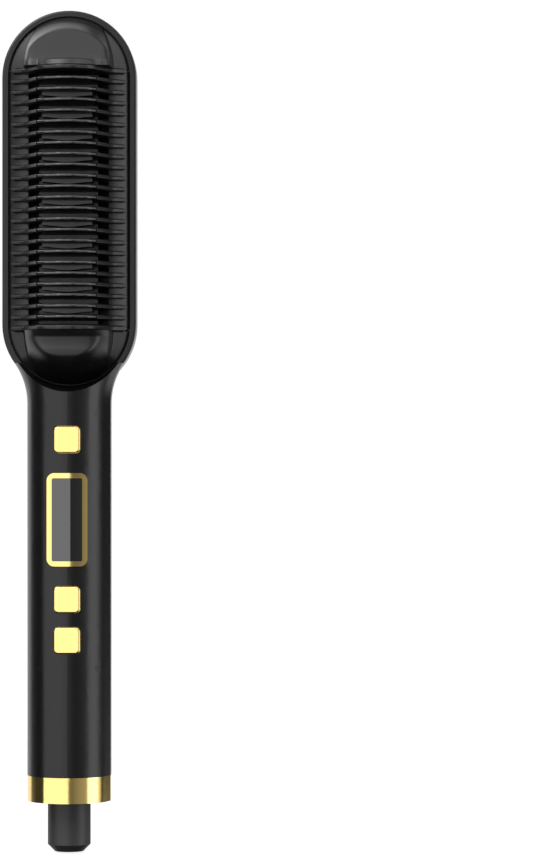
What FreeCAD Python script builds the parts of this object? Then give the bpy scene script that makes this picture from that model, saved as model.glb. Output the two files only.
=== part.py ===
"""Heated straightening brush: comb head, oval handle, push buttons and a rotating cord sleeve.

The brush stands upright in its own frame. The origin is on the sleeve's axis at its bottom end,
+Z runs up the handle to the head, the teeth and the buttons face -Y and the back faces +Y.
"""
import FreeCAD, Part
import math
import os
import Sketcher

doc = FreeCAD.newDocument("straightening_brush")
sheet = doc.addObject("Spreadsheet::Sheet", "Sizes")

# Every driving dimension, in millimetres or degrees: name, value, what it measures.
SIZES = [
    # handle
    ("handle_width", 26.3, "width of the handle, side to side"),
    ("handle_front", 14.0, "sleeve axis to the front of the handle"),
    ("parting_y", 3.7, "sleeve axis back to the line where the two shells meet"),
    ("lobe_depth", 10.7, "parting line back to the crowns of the two outer grip lobes"),
    ("lobe_x", 5.6, "centre of each outer grip lobe"),
    ("crease_x", 4.4, "centre line to each grip crease"),
    ("middle_lobe_rise", 0.55, "height of the middle grip lobe over its creases"),
    ("wall", 2.0, "wall of the handle shells"),
    ("end_wall", 3.3, "wall of the shells at the collar end"),
    ("end_wall_height", 10.0, "length of handle with the thicker wall"),
    ("crease_drop", 12.5, "foot of the neck down to where the grip creases start to fade"),
    ("crease_fade", 12.0, "height over which they fade"),
    ("plain_back", 11.05, "parting line back to the handle's crown where it has no creases"),
    ("neck_radius", 22.0, "hollow between the handle's side and the head"),
    # head
    ("head_radius", 21.0, "half the width of the head"),
    ("rim_front", 1.0, "sleeve axis forward to the rim of the head"),
    ("head_back", 16.0, "sleeve axis back to the flat back of the head"),
    ("head_edge_depth", 3.0, "rounding of the head's back edge, front to back"),
    ("rim_round", 0.6, "rounding of the rim's outer edge"),
    ("rim_wall", 1.8, "wall of the head"),
    ("ledge_width", 1.8, "ledge inside the rim that carries the comb"),
    ("ledge_y", 2.0, "front face of that ledge"),
    ("comb_gap", 0.3, "gap all round between the comb and the rim"),
    ("throat_draft", 2.0, "how far the wall above the handle leans back over its height"),
    # comb
    ("comb_height", 22.0, "sleeve axis forward to the crests of the teeth"),
    ("crown_half", 8.6, "half width of the round crown of a tooth"),
    ("crown_fall", 4.0, "crest of a tooth down to the crown's edges"),
    ("flank_half", 13.4, "half width at the foot of a tooth's straight flank"),
    ("flank_edge", 6.5, "height of that foot"),
    ("tooth_end_half", 17.9, "half width across the ends of a tooth"),
    ("tooth_end_height", 1.2, "height of those ends"),
    ("root_sag", 0.9, "hollow of a tooth's outer root"),
    ("tooth_count", 25, "teeth, with the end walls as the first and last"),
    ("tooth_pitch", 3.36, "distance between teeth"),
    ("tooth_root", 1.5, "thickness of a tooth at its root"),
    ("tooth_crest", 0.7, "thickness of a tooth at its crest"),
    ("tooth_gap_floor", 1.0, "height where the gaps between teeth begin"),
    ("tooth_low_inset", 1.4, "centre of the lower round end down to the lowest tooth"),
    ("tooth_high_inset", 1.74, "centre of the upper round end up to the highest tooth"),
    ("tooth_inner", 9.5, "centre line to the inner end of a tooth"),
    ("window_half", 12.6, "half width of the comb's window"),
    ("slope_height", 4.0, "height of the comb's slopes at the window"),
    ("slope_wall", 1.9, "wall of those slopes"),
    ("skirt_edge", 1.0, "height of the comb's skirt under the slopes"),
    ("comb_wall", 1.6, "wall of the comb"),
    ("comb_draft", 0.38, "lean of the comb's round ends, run over rise"),
    ("top_crest", 2.46, "highest tooth up to where the top facet leaves the crest"),
    ("top_facet_drop", 1.1, "fall of the top facet, rise over run"),
    ("low_crest", 1.8, "lowest tooth down to where the bottom dome leaves the crest"),
    ("comb_boss_radius", 2.8, "screw bosses inside the comb's ends"),
    ("comb_boss_reach", 0.2, "those bosses behind the ledge"),
    ("boss_gap", 0.1, "gap between the comb's bosses and the rear shell's"),
    # hot plate and what is behind it
    ("plate_half", 9.2, "half width of the hot plate"),
    ("plate_back", -1.0, "back face of the hot plate"),
    ("plate_thickness", 3.0, "floor of the hot plate"),
    ("plate_end_gap", 0.6, "gap between the hot plate and the comb's end walls"),
    ("fin_thickness", 0.9, "hot fins"),
    ("fin_drop", 0.8, "crest of the fins below the crest of the teeth"),
    ("fin_dip", 1.2, "dip in the middle of each fin"),
    ("land_height", 9.0, "lens-shaped lands that stand on the plate in every other gap"),
    ("land_belly", 2.0, "how far a land bulges at its middle"),
    ("land_inset", 1.0, "end of a land in from the side of the plate"),
    ("pilot_floor", 0.6, "metal left in front of the heater screws' holes"),
    ("ceramic_thickness", 1.3, "ceramic heating strips"),
    ("ceramic_width", 11.6, "width of a strip"),
    ("ceramic_inset", 2.0, "end of the clamp plate to the end of a strip"),
    ("ceramic_gap", 2.0, "gap between the two strips"),
    ("clamp_thickness", 1.0, "steel clamp plate"),
    ("clamp_width", 17.6, "width of the clamp plate"),
    ("clamp_end_gap", 2.57, "gap between the clamp plate and the comb's end walls"),
    ("mica_thickness", 0.5, "insulating sheet"),
    ("tray_thickness", 1.8, "heater tray"),
    ("tray_width", 27.0, "width of the heater tray"),
    ("tray_margin", 4.0, "heater screws to the ends of the tray"),
    ("heater_screw_x", 7.3, "centre line to the heater screws"),
    ("heater_screw_inset", 8.0, "end of the clamp plate to the heater screws"),
    ("heater_screw_radius", 1.0, "shank of the heater screws"),
    ("tray_post_x", 11.2, "centre line to the tray posts"),
    ("tray_post_inset", 5.0, "heater screws to the tray posts, along the head"),
    ("tray_post_radius", 2.0, "tray posts on the rear shell"),
    ("lead_x", 4.0, "centre line to each lead"),
    ("heater_lead_y", 6.0, "heater leads behind the sleeve axis"),
    ("mains_lead_y", 2.0, "mains leads behind the sleeve axis"),
    ("terminal_depth", 10.0, "terminal blocks, front to back"),
    ("terminal_gap", 0.1, "gap between a terminal block and the heads of the board screws"),
    ("terminal_height", 6.0, "terminal blocks, along the board"),
    ("tab_width", 2.4, "connecting tabs of the heating strips"),
    ("tab_height", 3.0, "height of those tabs"),
    ("tab_inset", 3.0, "lower end of a strip up to its tabs"),
    ("tab_room", 0.3, "room round a tab in its slot"),
    ("lead_radius", 0.8, "insulated leads"),
    ("thermal_fuse_radius", 1.2, "thermal fuse"),
    ("thermal_fuse_length", 10.0, "length of the thermal fuse"),
    ("thermistor_radius", 1.0, "temperature sensor"),
    ("thermistor_length", 4.0, "length of the temperature sensor"),
    ("thermistor_offset", 20.0, "middle of the head down to the sensor"),
    ("part_x", 4.6, "centre line to the capacitor and to the fuse on the board"),
    ("part_inset", 8.0, "lower end of the board to those two"),
    ("part_gap", 6.0, "gap along the board between the parts on its back"),
    ("capacitor_radius", 4.0, "smoothing capacitor"),
    ("capacitor_length", 14.0, "length of the smoothing capacitor"),
    ("fuse_radius", 2.5, "fuse on the board"),
    ("fuse_length", 20.0, "length of that fuse"),
    ("mains_capacitor_width", 13.0, "mains capacitor"),
    ("mains_capacitor_depth", 8.0, "depth of the mains capacitor"),
    ("mains_capacitor_length", 18.0, "length of the mains capacitor"),
    ("triac_width", 10.0, "triac"),
    ("triac_depth", 4.5, "depth of the triac"),
    ("triac_length", 15.0, "length of the triac"),
    # back of the head
    ("trim_margin", 1.6, "rounded black edge outside the gold frame"),
    ("trim_fit", 0.05, "gap round the gold frame in its recess"),
    ("back_floor", 1.5, "wall under the frame and the panel"),
    ("trim_width", 3.8, "width of the gold frame"),
    ("trim_thickness", 1.5, "thickness of the gold frame"),
    ("panel_clearance", 0.1, "gap between the frame and the panel"),
    ("panel_flat_half", 5.8, "half width of the flat middle of the panel"),
    ("panel_base", 0.6, "floor of the panel"),
    ("panel_ridge", 0.7, "height of the panel's ridges over its floor"),
    ("panel_ridge_count", 3, "ridges round the panel"),
    ("head_screw_radius", 1.3, "shank of the head screws"),
    ("head_screw_head_radius", 2.4, "heads of those screws"),
    ("head_screw_head", 1.8, "height of those heads"),
    ("head_screw_reach", 9.0, "how far those screws enter the comb"),
    ("head_screw_fit", 0.1, "gap round a head screw in the rear shell"),
    ("head_screw_inset", 10.2, "from the centre of a round end out to its screw"),
    ("head_boss_radius", 2.9, "screw bosses on the rear shell"),
    # buttons, window and board
    ("button_size", 8.2, "side of a button"),
    ("button_corner", 1.5, "corner radius of a button"),
    ("button_edge", 0.5, "rounding of a button's face"),
    ("button_proud", 0.3, "face of a button proud of the handle"),
    ("button_flange", 10.4, "side of a button's retaining flange"),
    ("button_flange_thickness", 1.2, "thickness of that flange"),
    ("button_clearance", 0.12, "gap all round a button"),
    ("button_rest_gap", 0.08, "gap between the flange and the shell at rest"),
    ("button_stem", 0.7, "stem behind the flange"),
    ("button_stem_radius", 1.6, "radius of that stem"),
    ("button_travel", 0.5, "travel of a button"),
    ("lead_span", 12.7, "contact block up to the lower end of the board"),
    ("minus_rise", 12.7, "lower end of the board up to the minus button"),
    ("plus_rise", 12.7, "minus button up to the plus button"),
    ("window_rise", 24.8, "plus button up to the middle of the window"),
    ("power_rise", 24.9, "middle of the window up to the power button"),
    ("board_top", 11.9, "power button up to the upper end of the board"),
    ("head_rise", 3.2, "upper end of the board up to the lower end of the head"),
    ("deck_depth", 3.4, "handle front back to the flat face inside it"),
    ("deck_half", 8.8, "half width of that flat face"),
    ("deck_inset", 1.0, "upper end of that flat face below the upper end of the board"),
    ("frame_width", 12.7, "width of the gold window frame"),
    ("frame_height", 29.0, "height of the gold window frame"),
    ("frame_border", 1.6, "border of the window frame"),
    ("frame_corner", 2.4, "outer corner radius of the window frame"),
    ("lens_corner", 0.5, "corner radius of the lens"),
    ("frame_proud", 0.35, "middle of the frame proud of the handle"),
    ("lens_sunk", 0.2, "middle of the lens below the frame"),
    ("frame_curve", 22.0, "radius of the frame's and the lens's curved faces"),
    ("frame_seat", 1.7, "handle front back to the seat of frame and lens"),
    ("window_fit", 0.05, "gap round the frame and round the lens"),
    ("light_width", 7.4, "light opening behind the lens"),
    ("light_height", 23.0, "height of that opening"),
    ("switch_side", 6.0, "side of a tact switch"),
    ("switch_height", 3.4, "height of its case"),
    ("plunger_radius", 1.7, "plunger of a tact switch"),
    ("plunger_length", 3.2, "length of that plunger"),
    ("plunger_spare", 0.2, "room left behind a plunger when it is pressed"),
    ("plunger_clearance", 0.08, "radial gap round a plunger"),
    ("plunger_show", 0.9, "plunger standing out of its case at rest"),
    ("board_thickness", 1.6, "circuit board"),
    ("board_width", 19.4, "width of the board"),
    ("board_post_x", 6.6, "centre line to the board posts"),
    ("board_post_inset", 4.0, "board end to the centre of its posts"),
    ("board_post_radius", 2.1, "board posts on the front shell"),
    ("board_screw_radius", 1.0, "shank of the board screws"),
    ("board_screw_head_radius", 1.7, "heads of the board screws"),
    ("board_screw_length", 5.0, "length of the board screws under the head"),
    ("screw_head", 1.3, "height of small screw heads"),
    ("screw_fit", 0.03, "gap round a screw's shank in its hole"),
    ("display_width", 9.0, "display block"),
    ("display_height", 22.0, "height of the display block"),
    ("display_gap", 0.4, "gap between the display block and the deck"),
    # collar and swivel
    ("collar_low_z", 15.9, "bottom of the gold collar"),
    ("collar_height", 8.0, "height of the gold collar"),
    ("collar_wall", 1.4, "wall of the collar"),
    ("collar_floor", 1.4, "floor of the collar"),
    ("collar_fit", 0.05, "gap between the collar and the shells' spigots"),
    ("sleeve_radius", 6.75, "swivel sleeve"),
    ("sleeve_edge", 2.2, "chamfer at its lower end"),
    ("sleeve_clearance", 0.3, "radial gap between the sleeve and the collar"),
    ("sleeve_end_gap", 0.2, "gap between the sleeve's shoulder and its seat"),
    ("cord_hole_radius", 3.25, "cord hole through the sleeve"),
    ("journal_radius", 4.6, "journal of the sleeve"),
    ("journal_clearance", 0.08, "radial clearance of the journal in its seat"),
    ("seat_height", 8.0, "height of the swivel seat"),
    ("clip_radius", 6.4, "retaining ring"),
    ("clip_thickness", 0.8, "thickness of the retaining ring"),
    ("clip_gap", 0.2, "gap between the seat and the retaining ring"),
    ("clip_groove", 0.6, "depth of the ring's groove"),
    ("slip_ring_radius", 5.6, "lower brass slip ring"),
    ("slip_ring_step", 0.5, "upper ring smaller than the lower one"),
    ("slip_ring_fit", 0.02, "gap between the rings and the journal"),
    ("slip_ring_height", 1.6, "height of a slip ring"),
    ("slip_ring_pitch", 3.2, "distance between the slip rings"),
    ("slip_ring_first", 2.6, "retaining ring to the middle of the first slip ring"),
    ("journal_tail", 3.0, "middle of the last slip ring up to the journal's end"),
    ("blade_gap", 0.05, "gap between a contact blade and its ring"),
    ("blade_thickness", 0.5, "contact blades"),
    ("blade_width", 2.4, "width of a contact blade"),
    ("block_gap", 1.2, "gap between the journal's end and the contact block"),
    ("block_height", 5.0, "height of the contact block"),
    ("block_clearance", 0.05, "gap between the contact block and the shells"),
    ("block_depth", 8.0, "depth of the contact block, front to back"),
]

for row, (alias, value, meaning) in enumerate(SIZES, start=1):
    sheet.set(f"A{row}", meaning)
    sheet.set(f"B{row}", str(value))
    sheet.setAlias(f"B{row}", alias)
doc.recompute()


def size(alias):
    """The value of one driving dimension."""
    return float(sheet.get(alias))


def bind(thing, **expressions):
    """Tie properties of an object to expressions in the sheet's names."""
    for path, expression in expressions.items():
        thing.setExpression(path.replace("__", "."), named(expression))
    return thing


def named(expression):
    """Write sheet names in full, so that an expression can say wall for Sizes.wall."""
    words = []
    word = ""
    for letter in str(expression) + " ":
        if letter.isalnum() or letter == "_":
            word += letter
            continue
        words.append(f"Sizes.{word}" if word in ALIASES else word)
        words.append(letter)
        word = ""
    return "".join(words).strip()


ALIASES = {alias for alias, value, meaning in SIZES}
NODES = []


def node(thing, name):
    """Give a finished sub-part its name."""
    thing.Label = name
    NODES.append(thing)
    return thing


def shaped(name, shape):
    """A sub-part whose form comes from Part's own functions."""
    thing = doc.addObject("Part::Feature", name)
    thing.Shape = shape
    thing.Placement = FreeCAD.Placement()
    return node(thing, name)


def box(name, across, depth, height, x, y, z):
    """A block centred on x, with its front face at y and its bottom at z."""
    block = doc.addObject("Part::Box", name)
    bind(block, Length=across, Width=depth, Height=height)
    bind(block, Placement__Base__x=f"({x}) - ({across}) / 2", Placement__Base__y=y, Placement__Base__z=z)
    return block


def rod(name, radius, length, x, y, z, upright=False):
    """A round bar from its start point along +Y, or along +Z when upright."""
    bar = doc.addObject("Part::Cylinder", name)
    if not upright:
        bar.Placement.Rotation = FreeCAD.Rotation(FreeCAD.Vector(1, 0, 0), -90)
    bind(bar, Radius=radius, Height=length)
    bind(bar, Placement__Base__x=x, Placement__Base__y=y, Placement__Base__z=z)
    return bar


def joined(name, pieces):
    """Pieces that are one solid, or a group of separate solids that touch nothing."""
    group = doc.addObject("Part::MultiFuse", name)
    group.Shapes = pieces
    return group


def drilled(name, base, tools):
    """A piece with the tools' volumes taken out."""
    cut = doc.addObject("Part::Cut", name)
    cut.Base = base
    cut.Tool = tools[0] if len(tools) == 1 else joined(f"{name}_holes", tools)
    return cut


def plane_of(body, role):
    """One of a body's own origin planes."""
    return next(feature for feature in body.Origin.OriginFeatures if feature.Role == role)


def rectangle(body, name, width, height, plane="XZ_Plane", rise="0"):
    """A sketch of a rectangle about the origin of one of the body's planes."""
    sketch = body.newObject("Sketcher::SketchObject", name)
    sketch.AttachmentSupport = [(plane_of(body, plane), "")]
    sketch.MapMode = "FlatFace"
    corners = [FreeCAD.Vector(x, y) for x, y in ((-1, -1), (1, -1), (1, 1), (-1, 1))]
    for start, end in zip(corners, corners[1:] + corners[:1]):
        sketch.addGeometry(Part.LineSegment(start, end))
    for side in range(4):
        sketch.addConstraint(Sketcher.Constraint("Coincident", side, 2, (side + 1) % 4, 1))
        sketch.addConstraint(Sketcher.Constraint("Vertical" if side % 2 else "Horizontal", side))
    sketch.addConstraint(Sketcher.Constraint("Symmetric", 0, 1, 2, 1, -1, 1))
    sketch.addConstraint(Sketcher.Constraint("DistanceX", 0, 1, 0, 2, 2))
    sketch.renameConstraint(sketch.ConstraintCount - 1, "across")
    sketch.addConstraint(Sketcher.Constraint("DistanceY", 1, 1, 1, 2, 2))
    sketch.renameConstraint(sketch.ConstraintCount - 1, "up")
    bind(sketch, Constraints__across=width, Constraints__up=height, AttachmentOffset__Base__z=rise)
    return sketch


def pad(body, sketch, name, length):
    """Material from a sketch towards the front of the brush."""
    feature = body.newObject("PartDesign::Pad", name)
    feature.Profile = sketch
    bind(feature, Length=length)
    return feature


def pocket(body, sketch, name, length):
    """A hole from a sketch towards the front of the brush."""
    feature = body.newObject("PartDesign::Pocket", name)
    feature.Profile = sketch
    feature.Reversed = True
    bind(feature, Length=length)
    return feature


def rounded(body, base, name, radius, chosen):
    """Round those edges of a feature that pass a test."""
    doc.recompute()
    edges = [f"Edge{number}" for number, edge in enumerate(base.Shape.Edges, start=1) if chosen(edge)]
    feature = body.newObject("PartDesign::Fillet", name)
    feature.Base = (base, edges)
    bind(feature, Radius=radius)
    return feature


def runs_front_to_back(edge):
    """True for a straight edge along Y."""
    if not isinstance(edge.Curve, Part.Line):
        return False
    return abs(abs(edge.Curve.Direction.y) - 1) < 1e-6


# --- heights up the brush ------------------------------------------------------------------------

# Each place lies above the one before it by the sizes named with it.
STACK = [
    ("seat_foot", ["collar_low_z", "collar_floor"]),
    ("seat_top", ["seat_height"]),
    ("clip", ["clip_gap"]),
    ("first_ring", ["clip_thickness", "slip_ring_first"]),
    ("journal_top", ["slip_ring_pitch", "journal_tail"]),
    ("block_foot", ["block_gap"]),
    ("block_top", ["block_height"]),
    ("board_low", ["lead_span"]),
    ("minus", ["minus_rise"]),
    ("plus", ["plus_rise"]),
    ("window", ["window_rise"]),
    ("power", ["power_rise"]),
    ("board_high", ["board_top"]),
    ("head_low", ["head_rise", "head_radius"]),
]
CLIMB = {}
climbed = []
for place, steps in STACK:
    climbed = climbed + steps
    CLIMB[place] = climbed


def height(place):
    """The height of a place on the brush."""
    return sum(size(alias) for alias in CLIMB[place])


def height_of(place):
    """The same height written as an expression."""
    return "(" + " + ".join(CLIMB[place]) + ")"


# --- shared outlines -----------------------------------------------------------------------------

V = FreeCAD.Vector
SIDES = (-1, 1)
EPS = 0.01
PAST = 1
SPLIT_Y = size("parting_y")
HEAD_LOW = height("head_low")
FIRST_Z = HEAD_LOW - size("tooth_low_inset")
PITCH = size("tooth_pitch")
TEETH = int(size("tooth_count"))
LAST_Z = FIRST_Z + PITCH * (TEETH - 1)
HEAD_HIGH = LAST_Z - size("tooth_high_inset")
HANDLE_LOW = size("collar_low_z") + size("collar_height")
SEAT_LOW = height("seat_foot")
HALF = size("handle_width") / 2
FAR = 2 * HEAD_HIGH


def curve(points, start, end):
    """A smooth edge through points, leaving along start and arriving along end."""
    spline = Part.BSplineCurve()
    spline.interpolate(Points=points, InitialTangent=start, FinalTangent=end)
    return spline.toShape()


def ellipse_points(centre_x, centre_y, across, deep, start, end, z):
    """Points on an ellipse between two angles, for an edge of the handle."""
    steps = 6
    angles = [start + (end - start) * step / steps for step in range(steps + 1)]
    return [V(centre_x + across * math.cos(a), centre_y + deep * math.sin(a), z) for a in angles]


def handle_section(z, half, inset, fade):
    """The handle's closed outline at one height.

    half is half its outer width, inset shrinks it for the inside of a wall, and fade takes the grip
    creases from full at 0 to gone at 1.
    """
    across = half - inset
    front = size("handle_front") - inset
    lobe_x = size("lobe_x") * (1 - fade)
    lobe = size("lobe_depth") * (1 - fade) + size("plain_back") * fade - inset
    crease_x = size("crease_x")
    crease_angle = math.acos((crease_x - lobe_x) / (across - lobe_x))
    side = ellipse_points(lobe_x, SPLIT_Y, across - lobe_x, lobe, 0, crease_angle, z)
    other_side = [V(-point.x, point.y, z) for point in reversed(side)]
    leaving = V(-(across - lobe_x) * math.sin(crease_angle), lobe * math.cos(crease_angle), 0)
    arriving = V(leaving.x, -leaving.y, 0)
    crease_y = side[-1].y
    crown = V(0, (crease_y + size("middle_lobe_rise")) * (1 - fade) + (SPLIT_Y + lobe) * fade, z)
    left_front = ellipse_points(0, 0, across, front, -math.pi, -math.pi / 2, z)
    right_front = ellipse_points(0, 0, across, front, -math.pi / 2, 0, z)
    edges = [
        curve(left_front, V(0, -1, 0), V(1, 0, 0)),
        curve(right_front, V(1, 0, 0), V(0, 1, 0)),
        Part.LineSegment(right_front[-1], side[0]).toShape(),
        curve(side, V(0, 1, 0), leaving.normalize()),
        Part.Arc(side[-1], crown, other_side[0]).toShape(),
        curve(other_side, arriving.normalize(), V(0, -1, 0)),
        Part.LineSegment(other_side[-1], left_front[0]).toShape(),
    ]
    return Part.Wire(edges)


def handle_prism(low, high, inset, fade):
    """A straight length of the handle, or of the room inside it."""
    return Part.Face(handle_section(low, HALF, inset, fade)).extrude(V(0, 0, high - low))


def neck_top():
    """Height where the hollow of the neck runs into the head's round end."""
    radius = size("neck_radius")
    head = size("head_radius")
    start = neck_start()
    return HEAD_LOW + (start - HEAD_LOW) * head / (head + radius)


def neck_start():
    """Height where the handle's side starts to swing out to the head."""
    radius = size("neck_radius")
    reach = size("head_radius") + radius
    return HEAD_LOW - math.sqrt(reach**2 - (HALF + radius) ** 2)


def neck_half(z):
    """Half the width of the handle at a height in the neck."""
    radius = size("neck_radius")
    climb = max(0.0, z - neck_start())
    return HALF + radius - math.sqrt(radius**2 - climb**2)


def neck_solid(inset, plain):
    """The neck from the end of the grip creases up to the head."""
    low = CREASE_END
    steps = 12
    wires = []
    for step in range(steps + 1):
        z = low + (neck_top() - low) * step / steps
        share = min(1.0, (z - low) / size("crease_fade"))
        fade = 1.0 if plain else share**2 * (3 - 2 * share)
        wires.append(handle_section(z, neck_half(z), inset, fade))
    return Part.makeLoft(wires, True, False)


def polygon(points, z):
    """A face from (x, y) corners at one height."""
    corners = [V(x, y, z) for x, y in points]
    return Part.Face(Part.makePolygon(corners + corners[:1]))


def round_the_head(face):
    """A solid with one profile all round the head.

    The profile lies at the height of the lower round end, with x the distance from the head's
    centre line.
    """
    rise = V(0, 0, HEAD_HIGH - HEAD_LOW)
    right = face.extrude(rise)
    left = right.mirror(V(0, 0, 0), V(1, 0, 0))
    low = face.revolve(V(0, 0, HEAD_LOW), V(0, 1, 0), 180)
    high = face.translated(rise).revolve(V(0, 0, HEAD_HIGH), V(0, -1, 0), 180)
    return right.fuse([left, low, high]).removeSplitter()


def slab(radius, front, back):
    """A flat oval plate as wide as the head's own outline at that radius."""
    return round_the_head(polygon([(0, front), (radius, front), (radius, back), (0, back)], HEAD_LOW))


def ring(outer, inner, front, back):
    """An oval ring round the head."""
    return round_the_head(polygon([(inner, front), (outer, front), (outer, back), (inner, back)], HEAD_LOW))


def block(x_half, front, back, low, high):
    """A plain block, centred on x."""
    return Part.makeBox(2 * x_half, back - front, high - low, V(-x_half, front, low))


def rounded_block(width, height, corner, front, back, z):
    """A block centred at a height, with its four front-to-back edges rounded."""
    plain = block(width / 2, front, back, z - height / 2, z + height / 2)
    return plain.makeFillet(corner, [edge for edge in plain.Edges if runs_front_to_back(edge)])


def peg(radius, x, z, front, back):
    """A round bar from front to back."""
    return Part.makeCylinder(radius, back - front, V(x, front, z), V(0, 1, 0))


# --- places that several pieces share --------------------------------------------------------------

DECK = "(handle_front - deck_depth)"
FLANGE_BACK = f"({DECK} - button_rest_gap - button_flange_thickness)"
PLUNGER_TOP = f"({FLANGE_BACK} - button_stem)"
CASE_TOP = f"({PLUNGER_TOP} - plunger_show)"
BOARD_FRONT = f"({CASE_TOP} - switch_height)"
BOARD_BACK = f"(board_thickness - {BOARD_FRONT})"
STRIP_BACK = "(plate_back + ceramic_thickness)"
CLAMP_BACK = f"({STRIP_BACK} + clamp_thickness)"
MICA_BACK = f"({CLAMP_BACK} + mica_thickness)"
TRAY_BACK = f"({MICA_BACK} + tray_thickness)"
TOOTH_SPAN = "((tooth_count - 1) * tooth_pitch)"
FIRST_TOOTH = f"({height_of('head_low')} - tooth_low_inset)"
HEAD_TOP = f"({FIRST_TOOTH} + {TOOTH_SPAN} - tooth_high_inset)"
HEAD_MIDDLE = f"({FIRST_TOOTH} + {TOOTH_SPAN} / 2)"
CLAMP_LENGTH = f"({TOOTH_SPAN} - tooth_root - 2 * clamp_end_gap)"
STRIP_LENGTH = f"(({CLAMP_LENGTH} - ceramic_gap) / 2 - ceramic_inset)"
HEATER_SCREW_SPREAD = f"({CLAMP_LENGTH} - 2 * heater_screw_inset)"
TRAY_POST_SPREAD = f"({HEATER_SCREW_SPREAD} - 2 * tray_post_inset)"
TRAY_LENGTH = f"({HEATER_SCREW_SPREAD} + 2 * tray_margin)"
LOW_STRIP_Z = f"({HEAD_MIDDLE} - ceramic_gap / 2 - {STRIP_LENGTH})"
TAB_Z = f"({LOW_STRIP_Z} + tab_inset)"
FRAME_SEAT = "(handle_front - frame_seat)"


def distance(*aliases, less=()):
    """The sum of some sizes, less others."""
    return sum(size(alias) for alias in aliases) - sum(size(alias) for alias in less)


BUTTONS = ("power", "plus", "minus")
DECK_Y = -distance("handle_front", less=["deck_depth"])
BOARD_FRONT_Y = DECK_Y + distance(
    "button_rest_gap", "button_flange_thickness", "button_stem", "plunger_show", "switch_height"
)
TRAY_BACK_Y = distance(
    "plate_back", "ceramic_thickness", "clamp_thickness", "mica_thickness", "tray_thickness"
)
RECESS_RADIUS = distance("head_radius", less=["trim_margin"])
RECESS_Y = distance("head_back", less=["trim_thickness"])
RIM_RADIUS = distance("head_radius", less=["rim_wall"])
COMB_RADIUS = RIM_RADIUS - size("comb_gap")
LEDGE_Y = size("ledge_y")
HEAD_SCREW_Z = [HEAD_LOW - size("head_screw_inset"), HEAD_HIGH + size("head_screw_inset")]
HEAD_SCREW_SEAT = RECESS_Y - size("head_screw_head")
BOARD_LOW = height_of("board_low")
BOARD_HIGH = height_of("board_high")
WINDOW_Z = height("window")
CREASE_END = neck_start() - size("crease_drop")


def heater_screw_spread():
    """Distance between the heater screws along the head."""
    clamp = LAST_Z - FIRST_Z - size("tooth_root") - 2 * size("clamp_end_gap")
    return clamp - 2 * size("heater_screw_inset")


def tray_post_places():
    """Where the posts for the heater tray stand on the rear shell."""
    middle = (FIRST_Z + LAST_Z) / 2
    spread = heater_screw_spread() / 2 - size("tray_post_inset")
    return [(side * size("tray_post_x"), middle + end * spread) for side in SIDES for end in SIDES]


def heater_screw_places():
    """Where the heater screws go into the hot plate."""
    middle = (FIRST_Z + LAST_Z) / 2
    spread = heater_screw_spread() / 2
    return [(side * size("heater_screw_x"), middle + end * spread) for side in SIDES for end in SIDES]


# --- shells ----------------------------------------------------------------------------------------

def body_outside():
    """The whole outside of handle, neck and head as one solid, before it is parted."""
    handle = handle_prism(HANDLE_LOW, CREASE_END, 0, 0)
    spigot_inset = distance("collar_wall", "collar_fit")
    spigot = handle_prism(SEAT_LOW, HANDLE_LOW + EPS, spigot_inset, 0)
    rim = size("rim_front")
    radius = size("head_radius")
    rounding = size("rim_round")
    edge = ellipse_points(RECESS_RADIUS, size("head_back") - size("head_edge_depth"),
                          size("trim_margin"), size("head_edge_depth"), 0, math.pi / 2, HEAD_LOW)
    front_edge = ellipse_points(radius - rounding, rounding - rim, rounding, rounding,
                                -math.pi / 2, 0, HEAD_LOW)
    outline = Part.Wire([
        Part.makeLine(V(0, -rim, HEAD_LOW), front_edge[0]),
        curve(front_edge, V(1, 0, 0), V(0, 1, 0)),
        Part.makeLine(front_edge[-1], edge[0]),
        curve(edge, V(0, 1, 0), V(-1, 0, 0)),
        Part.makeLine(edge[-1], V(0, size("head_back"), HEAD_LOW)),
        Part.makeLine(V(0, size("head_back"), HEAD_LOW), V(0, -rim, HEAD_LOW)),
    ])
    head = round_the_head(Part.Face(outline))
    return handle, spigot, neck_solid(0, False), head


def throat():
    """The round space over the comb, cut into the handle's top end."""
    base = V(0, -size("rim_front"), HEAD_LOW)
    rise = distance("handle_front", less=["rim_front"])
    overshoot = 1.5
    wide = RIM_RADIUS + size("throat_draft") * overshoot
    return Part.makeCone(RIM_RADIUS, wide, rise * overshoot, base, V(0, -1, 0))


def handle_room():
    """The room inside the handle and the neck."""
    thick_end = HANDLE_LOW + size("end_wall_height")
    low = handle_prism(SEAT_LOW - PAST, thick_end, size("end_wall"), 1)
    middle = handle_prism(thick_end - EPS, CREASE_END + EPS, size("wall"), 1)
    return low.fuse([middle, neck_solid(size("wall"), True)])


def head_room(front):
    """The room inside the head, from a depth back to the wall behind it."""
    return slab(RIM_RADIUS, front, RECESS_Y - size("back_floor"))


def board_post_places():
    """Where the posts for the circuit board stand on the front shell, as (x, z)."""
    inset = size("board_post_inset")
    heights = [height("board_low") + inset, height("board_high") - inset]
    return [(side * size("board_post_x"), z) for side in SIDES for z in heights]


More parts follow.
